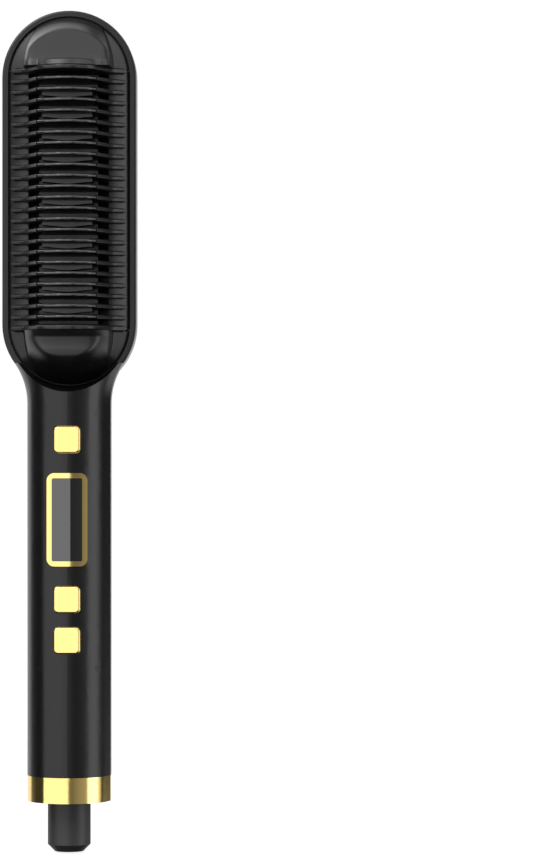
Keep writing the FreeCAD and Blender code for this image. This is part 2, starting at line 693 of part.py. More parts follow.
def front_openings():
    """What is cut from the front shell: the comb's seat, the window, the button holes, the screw holes."""
    ahead = -FAR / 4
    fit = size("window_fit")
    light = size("light_height") / 2
    seat = -distance("handle_front", less=["frame_seat"])
    openings = [
        slab(RIM_RADIUS, ahead, LEDGE_Y),
        slab(RIM_RADIUS - size("ledge_width"), 0, SPLIT_Y + PAST),
        rounded_block(size("frame_width") + 2 * fit, size("frame_height") + 2 * fit,
                      size("frame_corner") + fit, ahead, seat, WINDOW_Z),
        block(size("light_width") / 2, ahead, DECK_Y + PAST, WINDOW_Z - light, WINDOW_Z + light),
    ]
    clearance = size("button_clearance")
    side = size("button_size") + 2 * clearance
    corner = size("button_corner") + clearance
    for button in BUTTONS:
        openings.append(rounded_block(side, side, corner, ahead, DECK_Y + PAST, height(button)))
    reach = size("board_screw_length") - size("board_thickness")
    radius = size("board_screw_radius") + size("screw_fit")
    for x, z in board_post_places():
        openings.append(peg(radius, x, z, BOARD_FRONT_Y - reach, BOARD_FRONT_Y + PAST))
    return openings


def front_half():
    """The front shell, with a flat deck inside it for the buttons, the window and the board posts."""
    handle, spigot, neck, head = body_outside()
    whole = handle.fuse([spigot, neck.cut(throat())]).fuse(head)
    shell = whole.common(block(FAR, -FAR, SPLIT_Y, -FAR, FAR))
    head_wall = size("head_radius") + size("wall")
    closed_off = Part.makeCylinder(head_wall, 2 * FAR, V(0, -FAR, HEAD_LOW), V(0, 1, 0))
    deck_top = height("board_high") - size("deck_inset")
    deck = block(size("deck_half"), -FAR, DECK_Y, height("board_low"), deck_top)
    room = handle_room().cut(closed_off).cut(deck)
    posts = [peg(size("board_post_radius"), x, z, DECK_Y, BOARD_FRONT_Y) for x, z in board_post_places()]
    return shell.cut(room).fuse(posts).cut(front_openings())


def rear_half():
    """The rear shell, with the recess for the gold frame, screw bosses and posts for the heater tray."""
    handle, spigot, neck, head = body_outside()
    whole = handle.fuse([spigot, neck]).fuse(head)
    shell = whole.common(block(FAR, SPLIT_Y, FAR, -FAR, FAR))
    shell = shell.cut([handle_room(), head_room(SPLIT_Y - PAST)])
    back_wall = RECESS_Y - size("back_floor") + EPS
    boss_front = LEDGE_Y + distance("comb_boss_reach", "boss_gap")
    behind = FAR / 4
    bosses = []
    holes = [slab(RECESS_RADIUS, RECESS_Y, behind)]
    fit = size("head_screw_fit")
    for z in HEAD_SCREW_Z:
        bosses.append(peg(size("head_boss_radius"), 0, z, boss_front, back_wall))
        holes.append(peg(size("head_screw_head_radius") + fit, 0, z, HEAD_SCREW_SEAT, behind))
        holes.append(peg(size("head_screw_radius") + fit, 0, z, 0, behind))
    reach = size("board_screw_length") - size("tray_thickness")
    radius = size("board_screw_radius") + size("screw_fit")
    for x, z in tray_post_places():
        bosses.append(peg(size("tray_post_radius"), x, z, TRAY_BACK_Y, back_wall))
        holes.append(peg(radius, x, z, 0, TRAY_BACK_Y + reach))
    return shell.fuse(bosses).cut(holes)


shaped("front_shell", front_half())
shaped("rear_shell", rear_half())


# --- comb ------------------------------------------------------------------------------------------

COMB_LOW = HEAD_LOW - COMB_RADIUS
COMB_HIGH = HEAD_HIGH + COMB_RADIUS


def crown_radius(half, fall):
    """Radius of the round crown of a tooth, from its half width and its fall to its edges."""
    return (half**2 + fall**2) / (2 * fall)


def tooth_arch(inset):
    """The arch that a tooth follows from side to side, as a face at the comb's low end."""
    crest = size("comb_height") - inset
    crown_half = size("crown_half") - inset / 2
    crown_edge = crest - size("crown_fall")
    flank_half = size("flank_half") - inset
    flank_edge = size("flank_edge") - inset / 2
    end_half = size("tooth_end_half") - inset
    end_height = size("tooth_end_height") - inset
    z = COMB_LOW - PAST
    sag = size("root_sag")
    mid = V((flank_half + end_half) / 2 - sag, -(flank_edge + end_height) / 2 + sag, z)
    crown_ends = [V(side * crown_half, -crown_edge, z) for side in SIDES]
    edges = [Part.Arc(crown_ends[0], V(0, -crest, z), crown_ends[1]).toShape()]
    base = LEDGE_Y + PAST
    for side, crown in zip(SIDES, crown_ends):
        flank = V(side * flank_half, -flank_edge, z)
        end = V(side * end_half, -end_height, z)
        edges.append(Part.makeLine(crown, flank))
        edges.append(Part.Arc(flank, V(side * mid.x, mid.y, z), end).toShape())
        edges.append(Part.makeLine(end, V(side * end_half, base, z)))
    edges.append(Part.makeLine(V(-end_half, base, z), V(end_half, base, z)))
    return Part.Face(Part.Wire(Part.__sortEdges__(edges)))


def comb_mound(inset):
    """The teeth and the comb's round ends as one solid mound; inset shrinks it for the inside."""
    arch = tooth_arch(inset).extrude(V(0, 0, COMB_HIGH - COMB_LOW + 2 * PAST))
    radius = COMB_RADIUS - inset
    top = size("comb_height") + PAST
    top_radius = radius - size("comb_draft") * top
    foot = LEDGE_Y + PAST
    side_wall = [(0, foot), (radius, foot), (radius, 0), (top_radius, -top), (0, -top)]
    wall = round_the_head(polygon(side_wall, HEAD_LOW))
    crest = size("comb_height") - inset
    dome_z = FIRST_Z - size("low_crest") + inset / 2
    facet_z = LAST_Z + size("top_crest") - inset / 2
    low = COMB_LOW + inset
    fall = size("top_facet_drop")
    quarter = [step * math.pi / 12 for step in range(7)]
    dome = [V(0, -crest * math.sin(a), dome_z - (dome_z - low) * math.cos(a)) for a in quarter]
    facet_end = facet_z + (crest + foot) / fall
    outline = Part.Wire([
        curve(dome, V(0, -1, 0), V(0, 0, 1)),
        Part.makeLine(dome[-1], V(0, -crest, facet_z)),
        Part.makeLine(V(0, -crest, facet_z), V(0, foot, facet_end)),
        Part.makeLine(V(0, foot, facet_end), V(0, foot, low)),
        Part.makeLine(V(0, foot, low), dome[0]),
    ])
    side = Part.Face(outline).extrude(V(4 * radius, 0, 0)).translated(V(-2 * radius, 0, 0))
    return arch.common(wall).common(side)


def tooth_gaps():
    """The slots between the teeth, cut right across the comb and wider towards the crests."""
    root = size("tooth_root")
    floor = -size("tooth_gap_floor")
    top = -size("comb_height") - PAST
    lean = (root - size("tooth_crest")) * (floor - top) / (size("comb_height") + floor) / 2
    across = -FAR / 4
    gaps = []
    for number in range(TEETH - 1):
        low = FIRST_Z + PITCH * number + root / 2
        high = low + PITCH - root
        corners = [
            V(across, floor, low),
            V(across, floor, high),
            V(across, top, high + lean),
            V(across, top, low - lean),
        ]
        gap = Part.Face(Part.makePolygon(corners + corners[:1]))
        gaps.append(gap.extrude(V(-2 * across, 0, 0)))
    return gaps


def comb():
    """The comb: teeth on two slopes, a skirt that stands on the rim's ledge, and two round ends."""
    mound = comb_mound(0).common(block(FAR, -FAR, LEDGE_Y, -FAR, FAR))
    half_root = size("tooth_root") / 2
    low = FIRST_Z + half_root
    high = LAST_Z - half_root
    wall = size("comb_wall")
    room = comb_mound(wall)
    skirt = COMB_RADIUS - wall
    window = size("window_half")
    slope = -size("slope_height")
    under = slope + size("slope_wall")
    skirt_top = LEDGE_Y - size("skirt_edge")
    hollow = [(-skirt, FAR), (-skirt, skirt_top), (-window, under)]
    hollow += [(-x, y) for x, y in reversed(hollow)]
    cuts = tooth_gaps() + [
        room.common(block(FAR, -FAR, FAR, -FAR, low - wall)),
        room.common(block(FAR, -FAR, FAR, high + wall, FAR)),
        block(size("tooth_inner"), -FAR, FAR, low, high),
        polygon(hollow, low).extrude(V(0, 0, high - low)),
    ]
    added = [ring(COMB_RADIUS, skirt, 0, LEDGE_Y)]
    for side in SIDES:
        outline = [(COMB_RADIUS, 0), (window, slope), (window, under), (skirt, skirt_top), (skirt, LEDGE_Y),
                   (COMB_RADIUS, LEDGE_Y)]
        face = polygon([(side * x, y) for x, y in outline], FIRST_Z)
        added.append(face.extrude(V(0, 0, LAST_Z - FIRST_Z)))
    boss_end = LEDGE_Y + size("comb_boss_reach")
    pilots = []
    pilot = size("head_screw_radius") + size("screw_fit")
    for z in HEAD_SCREW_Z:
        boss = peg(size("comb_boss_radius"), 0, z, -size("comb_height"), boss_end)
        added.append(boss.common(comb_mound(0)))
        pilots.append(peg(pilot, 0, z, boss_end - size("head_screw_reach"), boss_end + PAST))
    return mound.cut(cuts).fuse(added).cut(pilots)


shaped("comb_cover", comb())


# --- swivel: everything that turns with the cord -------------------------------------------------------

JOURNAL_TOP = height_of("journal_top")
CLIP_LOW = height_of("clip")
SHOULDER = f"({height_of('seat_foot')} - sleeve_end_gap)"


def turned(name, radius, length, z):
    """A round bar on the sleeve's axis."""
    return rod(name, radius, length, "0", "0", z, upright=True)


foot = doc.addObject("Part::Cone", "sleeve_foot")
bind(foot, Radius1="sleeve_radius - sleeve_edge", Radius2="sleeve_radius", Height="sleeve_edge")
barrel = turned("sleeve_barrel", "sleeve_radius", f"{SHOULDER} - sleeve_edge", "sleeve_edge")
journal = turned("sleeve_journal", "journal_radius", f"{JOURNAL_TOP} - {SHOULDER}", SHOULDER)
cord_hole = turned("cord_hole", "cord_hole_radius", f"{JOURNAL_TOP} + {2 * PAST}", f"-{PAST}")
groove_outer = turned("groove_outer", "clip_radius", "clip_thickness", CLIP_LOW)
groove_inner = turned("groove_inner", "journal_radius - clip_groove", "clip_thickness", CLIP_LOW)
groove = drilled("clip_groove", groove_outer, [groove_inner])
sleeve = drilled("swivel_sleeve", joined("sleeve_blank", [foot, barrel, journal]), [cord_hole, groove])

clip_blank = turned("clip_blank", "clip_radius", "clip_thickness", CLIP_LOW)
cut = f"clip_thickness + {2 * PAST}"
below = f"{CLIP_LOW} - {PAST}"
clip_hole = turned("clip_hole", "journal_radius - clip_groove + slip_ring_fit", cut, below)
clip_mouth = box("clip_mouth", "journal_radius", "clip_radius * 2", cut, "0", "0", below)
clip = drilled("swivel_clip", clip_blank, [clip_hole, clip_mouth])

ring_solids = []
blade_solids = []
for number, side in enumerate(SIDES):
    middle = f"({height_of('first_ring')} + {number} * slip_ring_pitch)"
    low = f"({middle} - slip_ring_height / 2)"
    outer = f"(slip_ring_radius - {number} * slip_ring_step)"
    blank = turned(f"slip_ring_blank_{number}", outer, "slip_ring_height", low)
    hole = turned(f"slip_ring_hole_{number}", "journal_radius + slip_ring_fit",
                  f"slip_ring_height + {2 * PAST}", f"{low} - {PAST}")
    ring_solids.append(drilled(f"slip_ring_{number}", blank, [hole]))
    x = f"{side} * ({outer} + blade_gap + blade_thickness / 2)"
    length = f"{height_of('block_foot')} - {low}"
    blade_solids.append(box(f"blade_{number}", "blade_thickness", "blade_width", length,
                            x, "-blade_width / 2", low))
rings = joined("slip_rings", ring_solids)
blades = joined("contact_blades", blade_solids)


# --- hot plate and heater ----------------------------------------------------------------------------

def hot_plate():
    """An aluminium plate with a fin in line with each tooth and lands in every other gap."""
    half = size("plate_half")
    low = FIRST_Z + size("tooth_root") / 2 + size("plate_end_gap")
    high = LAST_Z - size("tooth_root") / 2 - size("plate_end_gap")
    front = size("plate_back") - size("plate_thickness")
    floor = block(half, front, size("plate_back"), low, high)
    radius = crown_radius(size("crown_half"), size("crown_fall"))
    centre = size("comb_height") - radius
    steps = 8
    crest = []
    for step in range(steps + 1):
        x = half * (2 * step / steps - 1)
        dip = size("fin_dip") * math.cos(math.pi / 2 * x / half) ** 4
        crest.append(V(x, size("fin_drop") + dip - centre - math.sqrt(radius**2 - x**2), 0))
    thickness = size("fin_thickness")
    pieces = []
    top = Part.BSplineCurve()
    top.interpolate(crest)
    foot = [V(half, front + EPS, 0), V(-half, front + EPS, 0)]
    sides = Part.makePolygon([crest[-1]] + foot + [crest[0]]).Edges
    fin = Part.Face(Part.Wire([top.toShape()] + sides)).extrude(V(0, 0, thickness))
    for number in range(1, TEETH - 1):
        pieces.append(fin.translated(V(0, 0, FIRST_Z + PITCH * number - thickness / 2)))
    reach = half - size("land_inset")
    for number in range(2, TEETH - 1, 2):
        z = FIRST_Z + PITCH * number - thickness / 2 + EPS
        left = V(-reach, front + EPS, z)
        right = V(reach, front + EPS, z)
        belly = Part.Arc(left, V(0, front + EPS, z - size("land_belly")), right).toShape()
        face = Part.Face(Part.Wire([belly, Part.makeLine(right, left)]))
        pieces.append(face.extrude(V(0, -size("land_height"), 0)))
    plate = floor.fuse(pieces)
    radius = size("heater_screw_radius") + size("screw_fit")
    start = front + size("pilot_floor")
    end = size("plate_back") + PAST
    return plate.cut([peg(radius, x, z, start, end) for x, z in heater_screw_places()])


def four_holes(name, x, spread, radius, front, depth):
    """Four rods through a plate of the head, for drilling it."""
    rods = []
    for side in SIDES:
        for end in SIDES:
            rods.append(rod(f"{name}_{len(rods)}", radius, depth, f"{side} * {x}", front,
                            f"{HEAD_MIDDLE} + {end} * {spread} / 2"))
    return rods


def four_screws(name, x, spread, seat, length, radius, head_radius, backwards):
    """Four screws in a plate of the head; backwards ones have their heads in front."""
    solids = []
    for side in SIDES:
        for end in SIDES:
            z = f"{HEAD_MIDDLE} + {end} * {spread} / 2"
            head_start = f"{seat} - screw_head" if backwards else seat
            shank_start = seat if backwards else f"{seat} - {length}"
            number = len(solids)
            head = rod(f"{name}_head_{number}", head_radius, "screw_head", f"{side} * {x}", head_start, z)
            shank = rod(f"{name}_shank_{number}", radius, length, f"{side} * {x}", shank_start, z)
            solids.append(joined(f"{name}_{number}", [head, shank]))
    return node(joined(name, solids), name)


shaped("heater_plate", hot_plate())

strips = []
for start in (LOW_STRIP_Z, f"({HEAD_MIDDLE} + ceramic_gap / 2)"):
    strips.append(box(f"strip_{len(strips)}", "ceramic_width", "ceramic_thickness", STRIP_LENGTH,
                      "0", "plate_back", start))
tabs = []
reach = f"heater_lead_y + lead_radius + tab_room - {STRIP_BACK}"
for side in SIDES:
    x = f"{side} * lead_x"
    tabs.append(box(f"tab_{len(tabs)}", "tab_width", reach, "tab_height", x, STRIP_BACK, TAB_Z))
node(joined("ceramic_heaters", [joined("lower_strip", [strips[0]] + tabs), strips[1]]), "ceramic_heaters")


def head_plate(name, width, thickness, length, front, screws):
    """A flat plate behind the hot plate, with its screw holes and slots for the strips' tabs."""
    plate = box(f"{name}_blank", width, thickness, length, "0", front, f"{HEAD_MIDDLE} - ({length}) / 2")
    holes = []
    before = f"{front} - {PAST}"
    through = f"{thickness} + {2 * PAST}"
    for x, spread in screws:
        holes += four_holes(f"{name}_hole_{x}", x, spread, "heater_screw_radius + screw_fit", before, through)
    for side in SIDES:
        holes.append(box(f"{name}_slot_{side + 1}", "tab_width + 2 * tab_room", through,
                         "tab_height + 2 * tab_room", f"{side} * lead_x", before, f"{TAB_Z} - tab_room"))
    return node(drilled(name, plate, holes), name)


HEATER_SCREWS = ("heater_screw_x", HEATER_SCREW_SPREAD)
TRAY_SCREWS = ("tray_post_x", TRAY_POST_SPREAD)
head_plate("heater_clamp", "clamp_width", "clamp_thickness", CLAMP_LENGTH, STRIP_BACK, [HEATER_SCREWS])
head_plate("mica_sheet", "clamp_width", "mica_thickness", CLAMP_LENGTH, CLAMP_BACK, [HEATER_SCREWS])
head_plate("heater_tray", "tray_width", "tray_thickness", TRAY_LENGTH, MICA_BACK,
           [HEATER_SCREWS, TRAY_SCREWS])
four_screws("heater_screws", *HEATER_SCREWS, TRAY_BACK, f"({TRAY_BACK} - plate_back + plate_thickness / 2)",
            "heater_screw_radius", "board_screw_head_radius", False)
four_screws("tray_screws", *TRAY_SCREWS, MICA_BACK, "board_screw_length", "board_screw_radius",
            "board_screw_head_radius", True)


def on_tray(name, radius, length, x, z):
    """A round sensor that lies on the back of the heater tray."""
    return node(rod(name, radius, length, x, f"{TRAY_BACK} + {radius}", z, upright=True), name)


on_tray("thermal_fuse", "thermal_fuse_radius", "thermal_fuse_length", "0",
        f"{HEAD_MIDDLE} - thermal_fuse_length / 2")
on_tray("thermistor", "thermistor_radius", "thermistor_length", "-lead_x",
        f"{HEAD_MIDDLE} - thermistor_offset")


# --- back of the head --------------------------------------------------------------------------------

TRIM_OUTER = RECESS_RADIUS - size("trim_fit")
TRIM_INNER = RECESS_RADIUS - size("trim_width")
shaped("back_trim_frame", ring(TRIM_OUTER, TRIM_INNER, RECESS_Y, size("head_back")))


def ridged_panel():
    """A floor with rounded ridges round it, each a step lower towards the flat middle."""
    outer = TRIM_INNER - size("panel_clearance")
    flat = size("panel_flat_half")
    floor = RECESS_Y + size("panel_base")
    count = int(size("panel_ridge_count"))
    pitch = (outer - flat) / count
    edges = [Part.makeLine(V(0, RECESS_Y, HEAD_LOW), V(outer, RECESS_Y, HEAD_LOW)),
             Part.makeLine(V(outer, RECESS_Y, HEAD_LOW), V(outer, floor, HEAD_LOW))]
    for number in range(count):
        start = outer - pitch * number
        top = V(start - pitch / 2, floor + size("panel_ridge"), HEAD_LOW)
        edges.append(Part.Arc(V(start, floor, HEAD_LOW), top, V(start - pitch, floor, HEAD_LOW)).toShape())
    edges.append(Part.makeLine(V(flat, floor, HEAD_LOW), V(0, floor, HEAD_LOW)))
    edges.append(Part.makeLine(V(0, floor, HEAD_LOW), V(0, RECESS_Y, HEAD_LOW)))
    return round_the_head(Part.Face(Part.Wire(edges)))


shaped("back_panel", ridged_panel())

head_screws = []
seat = "head_back - trim_thickness - head_screw_head"
tip = "ledge_y + comb_boss_reach - head_screw_reach"
for z in [f"{height_of('head_low')} - head_screw_inset", f"{HEAD_TOP} + head_screw_inset"]:
    number = len(head_screws)
    head = rod(f"head_screw_top_{number}", "head_screw_head_radius", "head_screw_head", "0", seat, z)
    shank = rod(f"head_screw_shank_{number}", "head_screw_radius", f"{seat} - ({tip})", "0", tip, z)
    head_screws.append(joined(f"head_screw_{number}", [head, shank]))
node(joined("head_screws", head_screws), "head_screws")


# --- buttons, window and board -----------------------------------------------------------------------

def push_button(name):
    """A square cap with a flange behind the shell and a stem on the switch's plunger."""
    body = doc.addObject("PartDesign::Body", f"{name}_button")
    cap = pad(body, rectangle(body, f"{name}_cap_outline", "button_size", "button_size", rise=FLANGE_BACK),
              f"{name}_cap", f"handle_front + button_proud - {FLANGE_BACK}")
    side = size("button_size") / 2

    def corner(edge):
        return runs_front_to_back(edge) and abs(abs(edge.Vertexes[0].X) - side) < EPS

    cap = rounded(body, cap, f"{name}_corners", "button_corner", corner)
    face_y = -distance("handle_front", "button_proud")

    def on_face(edge):
        return all(abs(vertex.Y - face_y) < EPS for vertex in edge.Vertexes)

    rounded(body, cap, f"{name}_face_edge", "button_edge", on_face)
    pad(body, rectangle(body, f"{name}_flange_outline", "button_flange", "button_flange", rise=FLANGE_BACK),
        f"{name}_flange", "button_flange_thickness")
    stem = body.newObject("Sketcher::SketchObject", f"{name}_stem_outline")
    stem.AttachmentSupport = [(plane_of(body, "XZ_Plane"), "")]
    stem.MapMode = "FlatFace"
    stem.addGeometry(Part.Circle(V(0, 0, 0), V(0, 0, 1), 1))
    stem.addConstraint(Sketcher.Constraint("Coincident", 0, 3, -1, 1))
    stem.addConstraint(Sketcher.Constraint("Radius", 0, 1))
    stem.renameConstraint(1, "round")
    bind(stem, Constraints__round="button_stem_radius", AttachmentOffset__Base__z=PLUNGER_TOP)
    pad(body, stem, f"{name}_stem", "button_stem")
    bind(body, Placement__Base__z=height_of(name))
    return node(body, f"{name}_button")


cases = []
well_depth = f"plunger_length - plunger_show + button_travel + plunger_spare + {PAST}"
for name in BUTTONS:
    push_button(name)
    z = height_of(name)
    plunger = rod(f"{name}_plunger", "plunger_radius", "plunger_length", "0", f"-{PLUNGER_TOP}", z)
    node(plunger, f"{name}_plunger")
    case = box(f"{name}_switch_blank", "switch_side", "switch_height", "switch_side", "0", f"-{CASE_TOP}",
               f"{z} - switch_side / 2")
    well = rod(f"{name}_switch_well", "plunger_radius + plunger_clearance", well_depth, "0",
               f"-{CASE_TOP} - {PAST}", z)
    cases.append(drilled(f"{name}_switch", case, [well]))
node(joined("button_switches", cases), "button_switches")


def curved_face(name, body, front):
    """Give a flat piece the window's gently curved front face."""
    drum = doc.addObject("Part::Cylinder", f"{name}_drum")
    bind(drum, Radius="frame_curve", Height="frame_height * 2")
    bind(drum, Placement__Base__y=f"frame_curve - ({front})")
    bind(drum, Placement__Base__z=f"{height_of('window')} - frame_height")
    shape = doc.addObject("Part::Common", name)
    shape.Base = body
    shape.Tool = drum
    return node(shape, name)


def window_frame():
    """The gold frame round the window, with its front bowed like the handle."""
    body = doc.addObject("PartDesign::Body", "display_frame_blank")
    blank = pad(body, rectangle(body, "frame_outline", "frame_width", "frame_height", rise=FRAME_SEAT),
                "frame_blank", "frame_seat + frame_proud")
    rounded(body, blank, "frame_corners", "frame_corner", runs_front_to_back)
    opening = rectangle(body, "frame_opening_outline", "frame_width - 2 * frame_border",
                        "frame_height - 2 * frame_border", rise=f"{FRAME_SEAT} - {PAST}")
    opening = pocket(body, opening, "frame_opening", f"frame_seat + frame_proud + {2 * PAST}")
    inner = size("frame_width") / 2 - size("frame_border")

    def inner_corner(edge):
        return runs_front_to_back(edge) and abs(abs(edge.Vertexes[0].X) - inner) < EPS

    rounded(body, opening, "frame_inner_corners", "lens_corner + window_fit", inner_corner)
    bind(body, Placement__Base__z=height_of("window"))
    return curved_face("display_frame", body, "handle_front + frame_proud")


def window_lens():
    """The dark lens that fills the frame, a little below its face."""
    body = doc.addObject("PartDesign::Body", "display_lens_blank")
    border = "2 * (frame_border + window_fit)"
    outline = rectangle(body, "lens_outline", f"frame_width - {border}", f"frame_height - {border}",
                        rise=FRAME_SEAT)
    blank = pad(body, outline, "lens_blank", "frame_seat + frame_proud")
    rounded(body, blank, "lens_corners", "lens_corner", runs_front_to_back)
    bind(body, Placement__Base__z=height_of("window"))
    return curved_face("display_lens", body, "handle_front + frame_proud - lens_sunk")


window_frame()
window_lens()

board = box("board_blank", "board_width", "board_thickness", f"{BOARD_HIGH} - {BOARD_LOW}", "0",
            f"-{BOARD_FRONT}", BOARD_LOW)
board_holes = []
board_screws = []
for side in SIDES:
    for z in [f"{BOARD_LOW} + board_post_inset", f"{BOARD_HIGH} - board_post_inset"]:
        number = len(board_screws)
        x = f"{side} * board_post_x"
        board_holes.append(rod(f"board_hole_{number}", "board_screw_radius + screw_fit",
                               f"board_thickness + {2 * PAST}", x, f"-{BOARD_FRONT} - {PAST}", z))
        head = rod(f"board_screw_head_{number}", "board_screw_head_radius", "screw_head", x, BOARD_BACK, z)
        shank = rod(f"board_screw_shank_{number}", "board_screw_radius", "board_screw_length", x,
                    f"{BOARD_BACK} - board_screw_length", z)
        board_screws.append(joined(f"board_screw_{number}", [head, shank]))
node(drilled("control_board", board, board_holes), "control_board")
node(joined("board_screws", board_screws), "board_screws")
node(box("display_module", "display_width", f"{DECK} - display_gap - {BOARD_FRONT}", "display_height", "0",
         f"display_gap - {DECK}", f"{height_of('window')} - display_height / 2"), "display_module")

ends = []
terminal_width = "2 * (board_post_x - board_screw_head_radius - terminal_gap)"
for low in [BOARD_LOW, f"({BOARD_HIGH} - terminal_height)"]:
    ends.append(box(f"terminal_block_{len(ends)}", terminal_width, "terminal_depth", "terminal_height", "0",
                    BOARD_BACK, low))
node(joined("terminal_blocks", ends), "terminal_blocks")


def behind_board(name, radius, length, x):
    """A round component that lies along the back of the board, near its lower end."""
    return node(rod(name, radius, length, x, f"{BOARD_BACK} + {radius}", f"{BOARD_LOW} + part_inset",
                    upright=True), name)


behind_board("smoothing_capacitor", "capacitor_radius", "capacitor_length", "-part_x")
behind_board("board_fuse", "fuse_radius", "fuse_length", "part_x")
MAINS_CAPACITOR_Z = f"({BOARD_LOW} + part_inset + fuse_length + part_gap)"
TRIAC_Z = f"({MAINS_CAPACITOR_Z} + mains_capacitor_length + part_gap)"
node(box("mains_capacitor", "mains_capacitor_width", "mains_capacitor_depth", "mains_capacitor_length", "0",
         BOARD_BACK, MAINS_CAPACITOR_Z), "mains_capacitor")
node(box("triac", "triac_width", "triac_depth", "triac_length", "0", BOARD_BACK, TRIAC_Z), "triac")


def lead_pair(name, start, end, y):
    """Two straight insulated leads side by side."""
    leads = []
    length = f"{end} - {start}"
    for side in SIDES:
        x = f"{side} * lead_x"
        leads.append(rod(f"{name}_{len(leads)}", "lead_radius", length, x, y, start, upright=True))
    return node(joined(name, leads), name)


lead_pair("mains_leads", height_of("block_top"), BOARD_LOW, "mains_lead_y")
lead_pair("heater_leads", BOARD_HIGH, TAB_Z, "heater_lead_y")


# --- collar, seat and contact block ------------------------------------------------------------------

def collar():
    """The gold ring that grips the spigots of both shells, with a floor round the sleeve."""
    outside = handle_prism(size("collar_low_z"), HANDLE_LOW, 0, 0)
    inside = handle_prism(SEAT_LOW, HANDLE_LOW + PAST, size("collar_wall"), 0)
    hole = Part.makeCylinder(distance("sleeve_radius", "sleeve_clearance"), FAR)
    return outside.cut([inside, hole])


shaped("collar_ring", collar())


def swivel_seat():
    """The plug in the end of the handle that carries the sleeve's journal."""
    plug = handle_prism(SEAT_LOW, SEAT_LOW + size("seat_height"), distance("end_wall", "collar_fit"), 1)
    return plug.cut(Part.makeCylinder(distance("journal_radius", "journal_clearance"), FAR))


shaped("swivel_seat", swivel_seat())
node(sleeve, "swivel_sleeve")
node(clip, "swivel_clip")
node(rings, "slip_rings")


def contact_block():
    """The plastic block across the handle that holds the two contact blades."""
    whole = handle_prism(height("block_foot"), height("block_top"), distance("wall", "block_clearance"), 1)
    depth = size("block_depth") / 2
    return whole.common(block(FAR, -depth, depth, -FAR, FAR))


shaped("contact_block", contact_block())
node(blades, "contact_blades")


# --- checks and files --------------------------------------------------------------------------------

doc.recompute()
for thing in doc.Objects:
    faults = [state for state in thing.State if state in ("Invalid", "Error")]
    if faults:
        raise RuntimeError(f"{thing.Name} failed: {faults}")

os.makedirs("parts", exist_ok=True)
for thing in NODES:
    shape = thing.Shape
    if shape.isNull() or not shape.isValid() or not shape.Solids:
        raise RuntimeError(f"{thing.Label} is not a sound solid")
    shape.exportStep(f"parts/{thing.Label}.step")
    print(f"{thing.Label}: {len(shape.Solids)} solid(s), {shape.Volume:.1f} mm3, {shape.BoundBox}")
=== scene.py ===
import math

import bmesh
import bpy
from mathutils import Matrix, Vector


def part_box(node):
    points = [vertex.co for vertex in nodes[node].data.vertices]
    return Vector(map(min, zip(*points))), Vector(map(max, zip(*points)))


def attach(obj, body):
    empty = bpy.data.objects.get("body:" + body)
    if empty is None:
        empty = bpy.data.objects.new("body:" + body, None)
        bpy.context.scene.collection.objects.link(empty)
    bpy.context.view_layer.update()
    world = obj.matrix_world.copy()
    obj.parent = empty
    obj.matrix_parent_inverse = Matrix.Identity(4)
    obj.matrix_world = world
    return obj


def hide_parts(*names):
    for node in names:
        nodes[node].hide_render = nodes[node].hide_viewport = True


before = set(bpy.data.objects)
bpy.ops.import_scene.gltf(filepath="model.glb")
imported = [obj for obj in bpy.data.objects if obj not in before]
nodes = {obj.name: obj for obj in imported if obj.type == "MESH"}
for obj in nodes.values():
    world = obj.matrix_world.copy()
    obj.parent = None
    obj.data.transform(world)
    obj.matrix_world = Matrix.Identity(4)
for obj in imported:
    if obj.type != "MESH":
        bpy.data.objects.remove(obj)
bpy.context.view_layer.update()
MM = 0.001


# --- Shells ------------------------------------------------------------------------------------
# Front and rear half of the handle and of the head's rim, moulded in black heat-proof plastic
# with a satin finish. They meet along the sides and are held by screws in the head and by the
# collar at the foot.

class Wire:
    """A socket in a material's nodes. Arithmetic on it adds Math nodes, node() adds any other."""

    def __init__(self, tree, socket):
        self.tree = tree
        self.socket = socket

    def node(self, kind, settings, inputs, output=0):
        """Add a node, make its settings, feed its sockets and return one of its outputs."""
        made = self.tree.nodes.new("ShaderNode" + kind)
        for name, value in settings.items():
            if name == "stops":
                set_stops(made.color_ramp, value)
            else:
                setattr(made, name, value)
        for name, value in inputs.items():
            self.feed(made.inputs[name], value)
        return Wire(self.tree, made.outputs[output])

    def feed(self, socket, value):
        """Link a wire to a socket, or set the socket to a plain value."""
        if isinstance(value, Wire):
            self.tree.links.new(value.socket, socket)
        else:
            socket.default_value = value

    def maths(self, operation, *values):
        """Add a Math node and return its result."""
        return self.node("Math", {"operation": operation}, dict(enumerate(values)))

    def __add__(self, other):
        return self.maths("ADD", self, other)

    def __sub__(self, other):
        return self.maths("SUBTRACT", self, other)

    def __rsub__(self, other):
        return self.maths("SUBTRACT", other, self)

    def __mul__(self, other):
        return self.maths("MULTIPLY", self, other)

    __radd__ = __add__
    __rmul__ = __mul__


def set_stops(ramp, stops):
    """Give a colour ramp its (position, brightness) stops."""
    while len(ramp.elements) < len(stops):
        ramp.elements.new(1)
    for element, (position, brightness) in zip(ramp.elements, stops):
        element.position = position
        element.color = (brightness, brightness, brightness, 1)


def tint(red, green, blue):
    """A colour from its usual 0 to 255 numbers, made linear."""
    return [((level / 255 + 0.055) / 1.055) ** 2.4 for level in (red, green, blue)] + [1]


def start_finish(name):
    """A new material with its shader and the wire that carries a piece's own coordinates."""
    made = bpy.data.materials.new(name)
    made.use_nodes = True
    tree = made.node_tree
    place = Wire(tree, tree.nodes.new("ShaderNodeTexCoord").outputs["Object"])
    return made, tree.nodes["Principled BSDF"], place


def cloud(place, size, detail=2):
    """Soft random patches about as large as size, from 0 to 1."""
    return place.node("TexNoise", {}, {"Vector": place, "Scale": 1 / size, "Detail": detail})


